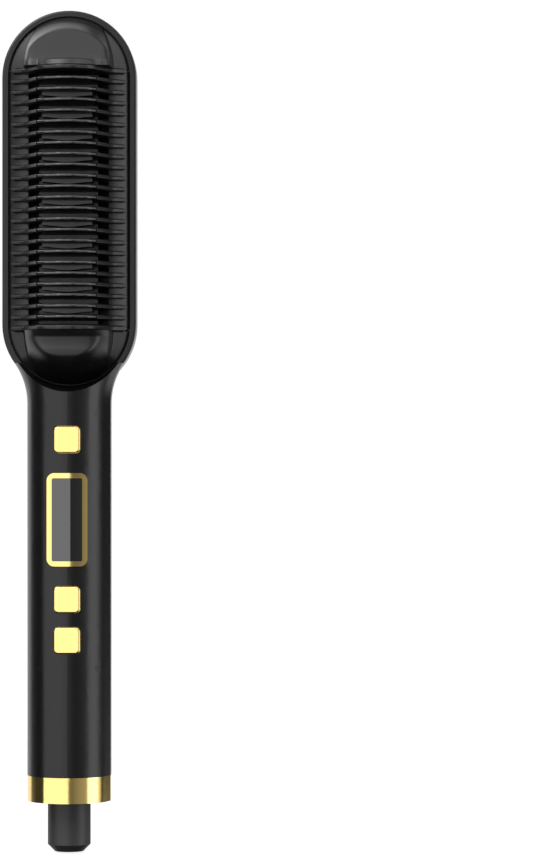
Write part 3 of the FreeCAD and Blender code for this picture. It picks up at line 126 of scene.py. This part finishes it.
def grain(place, size, depth):
    """The fine surface texture of a mould, as a normal."""
    height = cloud(place, size, 3)
    return place.node("Bump", {}, {"Height": height, "Distance": depth, "Strength": 1})


def between(share, first, second):
    """A colour that runs from first to second as share goes from 0 to 1."""
    # The colour sockets of a Mix node share their names, so they are picked by number.
    return share.node("Mix", {"data_type": "RGBA"}, {0: share, 6: first, 7: second}, output=2)


COLOUR_PATCH = 9 * MM
GLOSS_PATCH = 3 * MM
GLOSS_DRIFT = 0.04


def moulded_plastic(name, colour, gloss, grain_size=0.25, grain_depth=0.002, shine=1.42):
    """Moulded plastic: cloudy gloss, faint colour drift and a spark-eroded grain, sizes in mm."""
    made, shader, place = start_finish(name)
    drift = cloud(place, COLOUR_PATCH)
    paler = [min(1, level * 1.35 + 0.002) for level in colour[:3]] + [1]
    place.feed(shader.inputs["Base Color"], between(drift, colour, paler))
    place.feed(shader.inputs["Roughness"], gloss + GLOSS_DRIFT * cloud(place, GLOSS_PATCH))
    place.feed(shader.inputs["Normal"], grain(place, grain_size * MM, grain_depth * MM))
    shader.inputs["IOR"].default_value = shine
    return made


def paint(material, *names):
    """Give CAD nodes their finish."""
    for name in names:
        for slot in nodes[name].material_slots:
            slot.material = material


satin_black = moulded_plastic("satin_black_plastic", tint(8, 8, 9), gloss=0.27, shine=1.46)
paint(satin_black, "front_shell", "rear_shell")


# --- Comb cover --------------------------------------------------------------------------------
# Heat-proof matt plastic comb that keeps the scalp off the hot plate. It is one moulding with a
# row of teeth down each side, a flat ramp at the tip and a round dome at the foot. It snaps into
# the rim, and two screws from the back hold its ends.

comb_low, comb_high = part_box("comb_cover")
COMB_RADIUS = comb_high.x
COMB_BACK = comb_high.y
CREST = -comb_low.y
TIP_CENTRE = comb_high.z - COMB_RADIUS
FOOT_CENTRE = comb_low.z + COMB_RADIUS

TEETH = 25
PITCH = 3.36 * MM
FIRST_TOOTH = FOOT_CENTRE - 1.4 * MM
LAST_TOOTH = FIRST_TOOTH + PITCH * (TEETH - 1)
TOOTH_INNER = 9.4 * MM
TOOTH_OUTER = 18.3 * MM
TOOTH_TIP = 0.7 * MM
TOOTH_SINK = 0.2 * MM

# The teeth stand on two side slopes, which leave a window open for the hot plate.
WINDOW_HALF = 12.6 * MM
WINDOW_EDGE = 2.1 * MM
SLOPE_HEIGHT = 3.9 * MM
SLOPE_BEND = 1.35
SLOPE_STEPS = 8
SKIRT_INNER = COMB_RADIUS - 1.6 * MM
SKIRT_DEPTH = 1 * MM

MERGE = 0.002 * MM
SLIVER = 0.001 * MM
SHARP_EDGE = math.radians(35)


def soft_min(first, second, blend):
    """The smaller of two heights, rounded where they meet."""
    overlap = max(blend - abs(first - second), 0) / blend
    return min(first, second) - overlap * overlap * blend / 4


def soft_max(first, second, blend):
    """The larger of two heights, rounded where they meet."""
    return -soft_min(-first, -second, blend)


def through(points, x):
    """A smooth curve through (x, height) points in mm, read at x in metres."""
    # x stays below the last point, so that there is always a next one.
    x = min(max(x / MM, points[0][0]), points[-1][0] - 0.001)
    number = max(index for index, point in enumerate(points) if point[0] <= x)
    before, here, there, after = [points[min(max(number + shift, 0), len(points) - 1)]
                                  for shift in (-1, 0, 1, 2)]
    span = there[0] - here[0]
    share = (x - here[0]) / span
    rise_in = (there[1] - before[1]) / (there[0] - before[0]) * span
    rise_out = (after[1] - here[1]) / (after[0] - here[0]) * span
    square, cube = share**2, share**3
    return MM * ((2 * cube - 3 * square + 1) * here[1] + (cube - 2 * square + share) * rise_in
                 + (3 * square - 2 * cube) * there[1] + (cube - square) * rise_out)


# Height of the teeth's crest over half the comb's width, in mm from the centre line outwards.
TOOTH_CREST = [(0, 22), (1, 21.97), (3, 21.6), (6, 20.3), (8.2, 18.4), (9.3, 16.8), (10, 15.3),
               (12, 10.3), (13.4, 6.6), (14.3, 5.3), (15.5, 4.4), (18.4, 2.5)]


def arch(x):
    """Height of the teeth's crest at a distance from the centre line."""
    return through(TOOTH_CREST, abs(x))


def slope(x):
    """Height of the comb's side slopes."""
    share = min(max((COMB_RADIUS - abs(x)) / (COMB_RADIUS - WINDOW_HALF), 0), 1)
    return SLOPE_HEIGHT * (1 - (1 - share) ** SLOPE_BEND)


def new_mesh(name, bm, body, material):
    """Turn a bmesh into a finished piece that rides on a body."""
    bmesh.ops.remove_doubles(bm, verts=bm.verts, dist=MERGE)
    bmesh.ops.dissolve_degenerate(bm, edges=bm.edges, dist=SLIVER)
    bmesh.ops.recalc_face_normals(bm, faces=bm.faces)
    mesh = bpy.data.meshes.new(name)
    bm.to_mesh(mesh)
    bm.free()
    mesh.shade_smooth()
    mesh.set_sharp_from_angle(angle=SHARP_EDGE)
    mesh.materials.append(material)
    piece = bpy.data.objects.new(name, mesh)
    bpy.context.scene.collection.objects.link(piece)
    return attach(piece, body)


def patch(bm, columns, rows, place):
    """A grid bent to a shape: place(u, v) gives the point for u and v from 0 to 1."""
    made = bmesh.ops.create_grid(bm, x_segments=columns, y_segments=rows, size=0.5)["verts"]
    for vert in made:
        vert.co = place(vert.co.x + 0.5, vert.co.y + 0.5)
    return made


def close_ends(bm, verts):
    """Merge the seam of a patch that was bent round, and fill its open ends."""
    bmesh.ops.remove_doubles(bm, verts=verts, dist=MERGE)
    edges = [edge for edge in bm.edges if edge.is_boundary]
    bmesh.ops.holes_fill(bm, edges=edges, sides=0)


# Depth below the crest and half thickness of a tooth and of a fin, in mm, from the crest down.
TOOTH_SIDE = [(0, 0), (0.02, 0.29), (0.07, 0.42), (0.2, 0.51), (0.6, 0.61), (1.2, 0.76), (2, 0.93)]
FIN_SIDE = [(0, 0), (0.05, 0.22), (0.15, 0.37), (0.34, 0.47), (0.8, 0.52), (1.8, 0.57)]
RIB_FOOT = 1.0


def rib(bm, start, end, columns, crest, foot, side, thickness=1.0, tip=0.0):
    """One tooth or fin along x: crest(x) and foot(x) are heights, tip rounds its outer ends."""
    loop = [(None, RIB_FOOT)] + side[:0:-1] + side + [(None, RIB_FOOT)]
    count = len(loop)
    step = 0.02 * MM

    def place(u, v):
        x = start + (end - start) * u
        index = round(v * count) % count
        depth, half = loop[index]
        half *= thickness * MM * (1 if index < count / 2 else -1)
        near_end = min(max((abs(x) - abs(end) + tip) / tip, 0), 1) if tip else 0
        half *= math.sqrt(1 - near_end**2)
        if depth is None:
            return Vector((x, -foot(x), half))
        rise = (crest(x + step) - crest(x - step)) / (2 * step)
        length = math.hypot(1, rise)
        return Vector((x + depth * MM * rise / length, -crest(x) + depth * MM / length, half))

    close_ends(bm, patch(bm, columns, count, place))


def copies_along(bm, source, heights):
    """Copy a piece made at height 0 to each of some heights, and drop the original."""
    pattern = bpy.data.meshes.new("pattern")
    source.to_mesh(pattern)
    source.free()
    for height in heights:
        before = set(bm.verts)
        bm.from_mesh(pattern)
        fresh = [vert for vert in bm.verts if vert not in before]
        bmesh.ops.translate(bm, verts=fresh, vec=(0, 0, height))
    bpy.data.meshes.remove(pattern)


comb_plastic = moulded_plastic("matt_comb_plastic", tint(18, 18, 19), gloss=0.36, grain_size=0.18,
                               grain_depth=0.003, shine=1.5)
comb = bmesh.new()


def tooth_foot(x):
    """Where a tooth ends below: in the slope, or at the inner edge of the window."""
    return slope(x) - TOOTH_SINK if abs(x) > WINDOW_HALF else WINDOW_EDGE


# The teeth between the two end ribs, one row down each side.
for side in (-1, 1):
    tooth = bmesh.new()
    rib(tooth, side * TOOTH_INNER, side * TOOTH_OUTER, columns=44, crest=arch, foot=tooth_foot,
        side=TOOTH_SIDE, tip=TOOTH_TIP)
    copies_along(comb, tooth, [FIRST_TOOTH + PITCH * number for number in range(1, TEETH - 1)])


# How far a fin's crest falls from its middle to its end, in mm.
ROOF_FALL = [(0, 0), (2, 0.02), (2.8, 0.24), (4, 0.84), (5.5, 1.62), (6.7, 2.2), (7.6, 2.85),
             (9.3, 4.7)]
FIN_HALF = 9.2 * MM
FIN_DROP = 0.8 * MM
END_RIB_RISE = 0.7 * MM
END_RIB_SINK = 1 * MM


def roof(x):
    """Height of a fin's crest."""
    return CREST - FIN_DROP - through(ROOF_FALL, abs(x))


def end_rib_crest(x):
    """The ribs at the comb's ends cross the plate a little above the fins."""
    return min(arch(x), roof(x) + END_RIB_RISE) if abs(x) < FIN_HALF else arch(x)


# The two thicker ribs that close the window at its ends.
end_rib = bmesh.new()
rib(end_rib, -TOOTH_OUTER, TOOTH_OUTER, columns=130, crest=end_rib_crest,
    foot=lambda x: tooth_foot(x) - END_RIB_SINK, side=TOOTH_SIDE, thickness=1.25, tip=TOOTH_TIP)
copies_along(comb, end_rib, [FIRST_TOOTH, LAST_TOOTH])

# The side slopes, each with the skirt that goes down into the head's rim.
for side in (-1, 1):
    steps = [COMB_RADIUS + (WINDOW_HALF - COMB_RADIUS) * step / SLOPE_STEPS
             for step in range(SLOPE_STEPS + 1)]
    section = [(x, slope(x)) for x in steps]
    section += [(WINDOW_HALF, WINDOW_EDGE), (SKIRT_INNER, -SKIRT_DEPTH),
                (SKIRT_INNER, -COMB_BACK), (COMB_RADIUS, -COMB_BACK)]
    corners = [comb.verts.new((side * x, -height, FIRST_TOOTH)) for x, height in section]
    face = bmesh.ops.contextual_create(comb, geom=corners)["faces"]
    grown = bmesh.ops.extrude_face_region(comb, geom=face)["geom"]
    moved = [item for item in grown if isinstance(item, bmesh.types.BMVert)]
    bmesh.ops.translate(comb, verts=moved, vec=(0, 0, LAST_TOOTH - FIRST_TOOTH))


# The caps' grid. Its first and last row make the back edge, within BACK_ROW of each end, and the
# next BAND_SHARE of its rows lie in a band along the chord.
CAP_COLUMNS = 220
CAP_ROWS = 110
BACK_ROW = 0.01
BAND_SHARE = 0.25
EDGE_BAND = 2.4 * MM
RIM_SLOPE = 0.6
RIM_RISE = 0.2 * MM


def end_cap(bm, centre, outward, chord, crown, wall, wall_blend, brim_blend):
    """One closed end of the comb, from the chord next to the last rib out to the rim.

    outward is 1 at the tip and -1 at the foot. crown(x, distance) is the top's height at a
    distance outward from the chord, and wall(radius, drop) the round wall's, drop being the
    distance outward from the centre.
    """
    widest = math.acos(abs(chord - centre) / COMB_RADIUS)

    def place(u, v):
        across = 2 * u - 1
        angle = across * widest
        rim = Vector((COMB_RADIUS * math.sin(angle),
                      centre + outward * COMB_RADIUS * math.cos(angle)))
        base = Vector((COMB_RADIUS * math.sin(widest) * across, chord))
        row = round(v * CAP_ROWS)
        if row == 0:
            return Vector((base.x, COMB_BACK, chord))
        if row == CAP_ROWS:
            return Vector((rim.x, COMB_BACK, rim.y))
        share = min(max((v - BACK_ROW) / (1 - 2 * BACK_ROW), 0), 1)
        near = min(EDGE_BAND, abs(rim.y - chord) / 2)
        start = base + Vector((0, outward * near * min(share / BAND_SHARE, 1)))
        spot = start.lerp(rim, max(share - BAND_SHARE, 0) / (1 - BAND_SHARE))
        radius = math.hypot(spot.x, spot.y - centre)
        block = soft_min(crown(spot.x, outward * (spot.y - chord)),
                         wall(radius, outward * (spot.y - centre)), wall_blend)
        brim = RIM_SLOPE * (COMB_RADIUS - radius) + RIM_RISE
        return Vector((spot.x, -soft_max(block, brim, brim_blend), spot.y))

    verts = patch(bm, CAP_COLUMNS, CAP_ROWS, place)
    bmesh.ops.remove_doubles(bm, verts=verts, dist=MERGE)


CAP_HALF = 13.3 * MM
END_WALL = 0.75 * MM
FLANK_CLOSING = 0.02
FLANK_SLOPE = 16
# A shoulder is round over the first share of its radius, and has fallen by the second there.
ROUND_SHARE = 0.97
ROUND_FALL = 0.757


def shoulder(x, distance, radius):
    """How far the caps' rounded flanks fall; they close in away from the teeth."""
    over = abs(x) - (CAP_HALF - FLANK_CLOSING * distance**2 / MM - radius)
    if over <= 0:
        return 0
    if over < ROUND_SHARE * radius:
        return radius - math.sqrt(radius**2 - over**2)
    return ROUND_FALL * radius + (over - ROUND_SHARE * radius) * FLANK_SLOPE


TIP_CHORD = LAST_TOOTH + END_WALL
# Height of the tip's flat ramp, in mm by the distance up from the last rib.
TIP_RAMP = [(0, 17.6), (2, 17), (6, 14.6), (10, 11.8), (14, 8.4)]
TIP_SHOULDER = 2.6 * MM
ROOF_RADIUS = 14.4 * MM
EDGE_THICKNESS = 1.5 * MM
EDGE_TILT = 0.36
EDGE_FALL = 6
EDGE_BLEND = 0.5 * MM


def tip_crown(x, distance):
    """The tip's flat ramp behind an edge that stands up with the arch of the teeth."""
    edge = arch(x) - EDGE_TILT * distance - EDGE_FALL * max(distance - EDGE_THICKNESS, 0)
    top = soft_max(edge, through(TIP_RAMP, distance), EDGE_BLEND)
    return top - shoulder(x, distance, TIP_SHOULDER)


def tip_wall(radius, drop):
    """The wall from the ramp's round edge down to the rim."""
    edge_drop = ROOF_RADIUS * drop / radius
    top = through(TIP_RAMP, edge_drop - (TIP_CHORD - TIP_CENTRE))
    return top * (COMB_RADIUS - radius) / (COMB_RADIUS - ROOF_RADIUS)


FOOT_CHORD = FIRST_TOOTH - END_WALL
# Height of the foot's crest, in mm by the distance down from the last rib.
FOOT_CREST = [(0, 20.8), (1, 20.0), (2, 19.2), (3, 19), (4, 19), (5, 19.12), (6, 19.28), (7, 19.3),
              (8, 19), (9, 18.2), (10, 17), (12, 14), (17, 5)]
FOOT_SHOULDER = 6 * MM
FOOT_CROWNING = 1.5 * MM
FOOT_WALL_SLOPE = 2.7


def foot_crown(x, distance):
    """The foot's bulge, a little crowned across."""
    top = through(FOOT_CREST, distance) - FOOT_CROWNING * (x / CAP_HALF) ** 4
    return top - shoulder(x, distance, FOOT_SHOULDER)


def foot_wall(radius, drop):
    """The straight wall under the bulge, the same all the way round."""
    return (COMB_RADIUS - radius) * FOOT_WALL_SLOPE


end_cap(comb, TIP_CENTRE, 1, TIP_CHORD, tip_crown, tip_wall,
        wall_blend=1.2 * MM, brim_blend=2 * MM)
end_cap(comb, FOOT_CENTRE, -1, FOOT_CHORD, foot_crown, foot_wall,
        wall_blend=4 * MM, brim_blend=5 * MM)
close_ends(comb, comb.verts)
comb_piece = new_mesh("comb_cover_moulding", comb, "brush", comb_plastic)
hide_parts("comb_cover")


# --- Hot plate ---------------------------------------------------------------------------------
# Cast aluminium plate under the comb, with a fin in line with each tooth and lens-shaped lands in
# every other gap. It has a dark non-stick coating and is clamped to the heating strips.

plate_low, plate_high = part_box("heater_plate")
PLATE_HALF = plate_high.x
PLATE_BACK = plate_high.y
PLATE_FRONT = 4 * MM
FIN_SINK = 0.5 * MM
LAND_FRONT = PLATE_FRONT + 9 * MM
LAND_HALF = 7.8 * MM
LAND_TOP = -0.2 * MM
LAND_BOTTOM = -1.9 * MM
LAND_BELLY = 0.6 * MM
SPECKLE = 0.3 * MM


def coated_metal():
    """Aluminium under a dark non-stick coating with a fine speckle."""
    made, shader, place = start_finish("coated_aluminium")
    speckle = cloud(place, SPECKLE, 4)
    place.feed(shader.inputs["Base Color"], between(speckle, tint(8, 8, 8), tint(17, 17, 18)))
    place.feed(shader.inputs["Roughness"], 0.3 + 0.1 * cloud(place, 2 * MM))
    place.feed(shader.inputs["Normal"], grain(place, 0.2 * MM, 0.002 * MM))
    shader.inputs["IOR"].default_value = 1.75
    return made


# The fins, one in line with each tooth.
plate = bmesh.new()
fin = bmesh.new()
rib(fin, -PLATE_HALF, PLATE_HALF, columns=72, crest=roof, foot=lambda x: PLATE_FRONT - FIN_SINK,
    side=FIN_SIDE)
copies_along(plate, fin, [FIRST_TOOTH + PITCH * number for number in range(1, TEETH - 1)])

# The slab that carries them, from the heating strips to the fins' foot.
slab = bmesh.ops.create_cube(plate, size=1)["verts"]
bmesh.ops.scale(plate, verts=slab,
                vec=(2 * PLATE_HALF, PLATE_FRONT + PLATE_BACK, plate_high.z - plate_low.z))
bmesh.ops.translate(plate, verts=slab, vec=(0, (PLATE_BACK - PLATE_FRONT) / 2,
                                            (plate_high.z + plate_low.z) / 2))

# The lands, each hanging from a fin into the gap below it.
land = bmesh.new()


def land_point(u, v):
    """A land's outline swept over its front edge: u runs across the plate, v round the land."""
    across = 2 * u - 1
    bottom = LAND_BOTTOM - LAND_BELLY * math.cos(math.pi * across) / 2
    corners = [(LAND_TOP, PLATE_FRONT), (LAND_TOP, LAND_FRONT), (bottom, LAND_FRONT),
               (bottom, PLATE_FRONT), (LAND_TOP, PLATE_FRONT)]
    z, height = corners[round(v * 4)]
    return Vector((LAND_HALF * across, -height, z))


close_ends(land, patch(land, columns=40, rows=4, place=land_point))
copies_along(plate, land, [FIRST_TOOTH + PITCH * number for number in range(2, TEETH - 1, 2)])
plate_piece = new_mesh("hot_plate", plate, "brush", coated_metal())
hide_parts("heater_plate")


# --- Gold parts --------------------------------------------------------------------------------
# Frame on the back of the head, three push buttons, window frame and collar ring: moulded plastic
# with a vacuum-plated gold finish. They snap or slide into their seats in the shells.

def plated_gold():
    """Bright gold plating with a slight haze and faint handling marks."""
    made, shader, place = start_finish("gold_plating")
    haze = cloud(place, 4 * MM)
    place.feed(shader.inputs["Base Color"],
               between(haze, (1.0, 0.72, 0.25, 1), (1.0, 0.76, 0.29, 1)))
    place.feed(shader.inputs["Metallic"], 1.0)
    place.feed(shader.inputs["Roughness"], 0.1 + 0.05 * cloud(place, 1.5 * MM))
    place.feed(shader.inputs["Normal"], grain(place, 1.2 * MM, 0.001 * MM))
    return made


paint(plated_gold(), "back_trim_frame", "power_button", "plus_button", "minus_button",
      "display_frame", "collar_ring")


# --- Back panel --------------------------------------------------------------------------------
# Black plastic panel inside the gold frame, with rounded ridges round a flat middle. It is glued
# over the head's screws.

paint(moulded_plastic("panel_plastic", tint(28, 28, 29), gloss=0.3), "back_panel")


# --- Window ------------------------------------------------------------------------------------
# Smoked acrylic lens over the display. It is bowed like the handle, polished, and glued into its
# gold frame.

def smoked_lens():
    """Dark mirror-like acrylic with a few faint smears."""
    made, shader, place = start_finish("smoked_lens")
    smear = cloud(place, 5 * MM)
    place.feed(shader.inputs["Base Color"], between(smear, tint(6, 6, 8), tint(10, 10, 12)))
    place.feed(shader.inputs["Roughness"], 0.02 + 0.03 * smear)
    shader.inputs["IOR"].default_value = 2.0
    return made


paint(smoked_lens(), "display_lens")


# --- Swivel sleeve -----------------------------------------------------------------------------
# Matt plastic sleeve that guards the cord where it enters the handle. A clip holds it in its
# seat, and it turns with the cord.

paint(moulded_plastic("sleeve_plastic", tint(46, 46, 48), gloss=0.42, grain_size=0.3,
                      grain_depth=0.004), "swivel_sleeve")


# --- Heater ------------------------------------------------------------------------------------
# Two ceramic strips lie on the hot plate's back under a blackened steel clamp, with a mica sheet
# behind them. A thermal fuse and a glass thermistor sit on the clamp. A dark heat-proof tray holds
# the stack, and screws pull it together.

def mottled(name, dark, pale, size, gloss, metal=0.0, coat=0.0):
    """A surface that drifts between two colours in patches of a size in mm."""
    made, shader, place = start_finish(name)
    patches = cloud(place, size * MM, 3)
    place.feed(shader.inputs["Base Color"], between(patches, dark, pale))
    place.feed(shader.inputs["Roughness"], gloss + 0.12 * cloud(place, size * 0.4 * MM))
    place.feed(shader.inputs["Normal"], grain(place, 0.2 * MM, 0.002 * MM))
    shader.inputs["Metallic"].default_value = metal
    shader.inputs["Coat Weight"].default_value = coat
    return made


steel = mottled("blackened_steel", tint(40, 40, 42), tint(60, 60, 63), 1.5, gloss=0.4, metal=0.9)
paint(mottled("alumina", tint(214, 211, 202), tint(232, 230, 224), 2, gloss=0.55),
      "ceramic_heaters")
paint(mottled("mica", tint(140, 118, 80), tint(186, 168, 126), 3, gloss=0.25, coat=0.4),
      "mica_sheet")
paint(mottled("tinned_metal", tint(170, 171, 172), tint(205, 206, 208), 0.8, gloss=0.2, metal=1.0),
      "thermal_fuse")
paint(mottled("sensor_glass", tint(150, 92, 40), tint(190, 130, 66), 0.6, gloss=0.06, coat=0.6),
      "thermistor")
paint(moulded_plastic("tray_plastic", tint(10, 10, 10), gloss=0.6), "heater_tray")
paint(steel, "heater_clamp", "heater_screws", "tray_screws", "head_screws")


# --- Controls ----------------------------------------------------------------------------------
# Each gold button presses a white plunger on a small switch of the circuit board. The board also
# carries the display, a capacitor, a mains capacitor, a fuse, a triac and two terminal blocks.

def solder_mask():
    """Green solder mask over copper tracks that show as slightly paler lines."""
    made, shader, place = start_finish("solder_mask")
    tracks = place.node("TexBrick", {}, {"Vector": place, "Scale": 180, "Mortar Size": 0.03,
                                         "Color1": tint(14, 66, 40), "Color2": tint(18, 78, 48),
                                         "Mortar": tint(34, 104, 66)})
    place.feed(shader.inputs["Base Color"], tracks)
    place.feed(shader.inputs["Roughness"], 0.25 + 0.1 * cloud(place, 2 * MM))
    return made


paint(solder_mask(), "control_board")
paint(moulded_plastic("switch_plastic", tint(196, 194, 186), gloss=0.4),
      "power_plunger", "plus_plunger", "minus_plunger", "button_switches", "display_module",
      "triac", "contact_block")
paint(moulded_plastic("terminal_plastic", tint(34, 92, 58), gloss=0.4),
      "terminal_blocks", "mains_capacitor")
paint(mottled("capacitor_sleeve", tint(22, 30, 58), tint(32, 42, 78), 2, gloss=0.2),
      "smoothing_capacitor")
paint(mottled("fuse_glass", tint(168, 176, 176), tint(206, 212, 210), 0.7, gloss=0.06, coat=0.6),
      "board_fuse")
paint(steel, "board_screws")


# --- Leads -------------------------------------------------------------------------------------
# Four silicone-insulated leads: two from the board up to the heating strips, and two from the
# board down to the contacts of the swivel.

paint(mottled("lead_silicone", tint(150, 38, 32), tint(176, 52, 44), 2.5, gloss=0.45),
      "mains_leads", "heater_leads")


# --- Swivel seat -------------------------------------------------------------------------------
# A bulkhead between the shells carries the sleeve, and a steel clip keeps it in. Two brass blades
# on a plastic block rub on the sleeve's brass rings, so the cord turns without twisting.

paint(moulded_plastic("seat_plastic", tint(12, 12, 12), gloss=0.6), "swivel_seat")
paint(mottled("brass", (0.62, 0.42, 0.14, 1), (0.74, 0.53, 0.2, 1), 1.5, gloss=0.22, metal=1.0),
      "slip_rings", "contact_blades")
paint(steel, "swivel_clip")


# --- Studio ------------------------------------------------------------------------------------
# A pale round floor in white surroundings, with soft rectangular lamps about a metre from the
# brush. The camera stands in front of it at the height of its middle.

def seen_directly(wire):
    """1 for rays straight from the camera or through something clear, 0 for reflections."""
    return wire.maths("MAXIMUM", wire.node("LightPath", {}, {}, "Is Camera Ray"),
                      wire.node("LightPath", {}, {}, "Is Transmission Ray"))


def turn_stop(degrees):
    """Place on the ramp of a compass turn from the front, positive to the right."""
    return degrees / 360 + 0.5


# Brightness that the brush mirrors by the compass turn in degrees, by height from the ground
# below (0) to straight up (1), and by height again for the white wall behind it.
AROUND = [(-180, 1), (-133, 1), (-122, 0.04), (1, 0.04), (4, 0.15), (14, 0.17), (28, 0.26),
          (54, 0.36), (60, 1), (96, 0.9), (106, 0.05), (156, 0.04), (168, 1)]
UPWARD = [(0.16, 0), (0.275, 1), (0.7, 1), (0.78, 0.15), (1, 0.15)]
BEHIND = [(0.2, 0), (0.28, 0.8), (0.42, 0.8), (0.46, 0)]


def studio_world():
    """Surroundings: white to the camera, and a dim room with bright walls to the brush."""
    world = bpy.data.worlds.new("studio")
    bpy.context.scene.world = world
    world.use_nodes = True
    tree = world.node_tree
    shader = tree.nodes["Background"]
    way = Wire(tree, tree.nodes.new("ShaderNodeTexCoord").outputs["Generated"])
    right, back, up = [way.node("SeparateXYZ", {}, {0: way}, axis) for axis in "XYZ"]
    turn = way.maths("ARCTAN2", right, 0 - back) * (0.5 / math.pi) + 0.5
    height = up * 0.5 + 0.5
    around_stops = [(turn_stop(degrees), level) for degrees, level in AROUND]
    around = way.node("ValToRGB", {"stops": around_stops}, {"Fac": turn})
    upward = way.node("ValToRGB", {"stops": UPWARD}, {"Fac": height})
    behind = way.node("ValToRGB", {"stops": BEHIND}, {"Fac": height})
    # Rises from 0 beside the brush to 1 behind it.
    facing = way.maths("MAXIMUM", way.maths("MINIMUM", back * 3 - 0.6, 1), 0)
    mirrored = way.maths("MAXIMUM", around * upward, facing * behind)
    way.feed(shader.inputs["Strength"], way.maths("MAXIMUM", seen_directly(way), mirrored))
    way.feed(shader.inputs["Color"], (1, 1, 1, 1))


MIDDLE = Vector((0, 0, 0.15))


def softbox(name, azimuth, elevation, distance, width, height, radiance):
    """A rectangular lamp that faces the brush; azimuth 0 is in front and grows to the right."""
    lamp = bpy.data.lights.new(name, "AREA")
    lamp.shape = "RECTANGLE"
    lamp.size = width
    lamp.size_y = height
    lamp.energy = radiance * math.pi * width * height
    piece = bpy.data.objects.new(name, lamp)
    bpy.context.scene.collection.objects.link(piece)
    side = math.radians(azimuth)
    up = math.radians(elevation)
    offset = Vector((math.sin(side) * math.cos(up), -math.cos(side) * math.cos(up), math.sin(up)))
    piece.location = MIDDLE + offset * distance
    piece.rotation_euler = (-offset).to_track_quat("-Z", "Y").to_euler()
    piece.visible_camera = False


studio_world()
# Azimuth and elevation in degrees, then distance, width and height in metres, then radiance.
softbox("key_softbox", -35.2, 0, 1.1, 1.7, 2.4, 1.35)
softbox("strip_softbox", 75, 0, 1.1, 0.6, 2.4, 1.3)
softbox("upper_left_softbox", -36, 40, 1.1, 0.8, 0.5, 4.6)
softbox("left_rim_softbox", -112, 38, 1.1, 0.6, 0.5, 2.5)
softbox("upper_right_softbox", 42, 38, 1.1, 0.5, 0.45, 2.0)
softbox("rear_left_softbox", -150, 42, 1.1, 1.1, 0.65, 1.6)
softbox("rear_right_softbox", 140, 30, 1.1, 0.6, 0.6, 0.6)
softbox("overhead_softbox", 0, 72, 1.2, 1.6, 1.6, 1.25)

FLOOR_RADIUS = 4
FLOOR_DROP = 0.5 * MM
# Brightness of the floor from under the brush outwards, by half the distance in metres.
FLOOR_STOPS = [(0.05, 0.86), (0.35, 0.9), (0.9, 1)]

# The floor glows for the camera alone, a little dimmer under the brush, which mirrors none of it.
ground = bmesh.new()
bmesh.ops.create_circle(ground, cap_ends=True, segments=96, radius=FLOOR_RADIUS)
bmesh.ops.translate(ground, verts=ground.verts, vec=(0, 0, -FLOOR_DROP))
floor_mesh = bpy.data.meshes.new("floor")
ground.to_mesh(floor_mesh)
ground.free()
floor_piece = bpy.data.objects.new("floor", floor_mesh)
bpy.context.scene.collection.objects.link(floor_piece)
floor_finish, floor_shader, floor_place = start_finish("pale_floor")
floor_reach = floor_place.node("VectorMath", {"operation": "LENGTH"}, {0: floor_place}, "Value")
floor_level = floor_place.node("ValToRGB", {"stops": FLOOR_STOPS}, {"Fac": floor_reach * 0.5})
floor_place.feed(floor_shader.inputs["Emission Color"], seen_directly(floor_place) * floor_level)
floor_shader.inputs["Emission Strength"].default_value = 1.0
floor_shader.inputs["Base Color"].default_value = (0.3, 0.3, 0.3, 1)
floor_shader.inputs["Roughness"].default_value = 0.9
floor_shader.inputs["Specular IOR Level"].default_value = 0.0
floor_mesh.materials.append(floor_finish)
floor_piece.visible_glossy = False

# The camera looks straight at the brush's front, from a little to its right. VIEW_HEIGHT is what
# it takes in at the brush, from the bottom of the frame to the top.
CAMERA_DISTANCE = 1.236
CAMERA_SIDE = 0.0632
CAMERA_HEIGHT = 0.1327
VIEW_HEIGHT = 0.2688
camera_data = bpy.data.cameras.new("camera")
camera_data.lens = camera_data.sensor_width * CAMERA_DISTANCE / VIEW_HEIGHT
camera = bpy.data.objects.new("camera", camera_data)
bpy.context.scene.collection.objects.link(camera)
camera.location = (CAMERA_SIDE, -CAMERA_DISTANCE, CAMERA_HEIGHT)
camera.rotation_euler = (math.pi / 2, 0, 0)
bpy.context.scene.camera = camera

view = bpy.context.scene.view_settings
view.view_transform = "Standard"
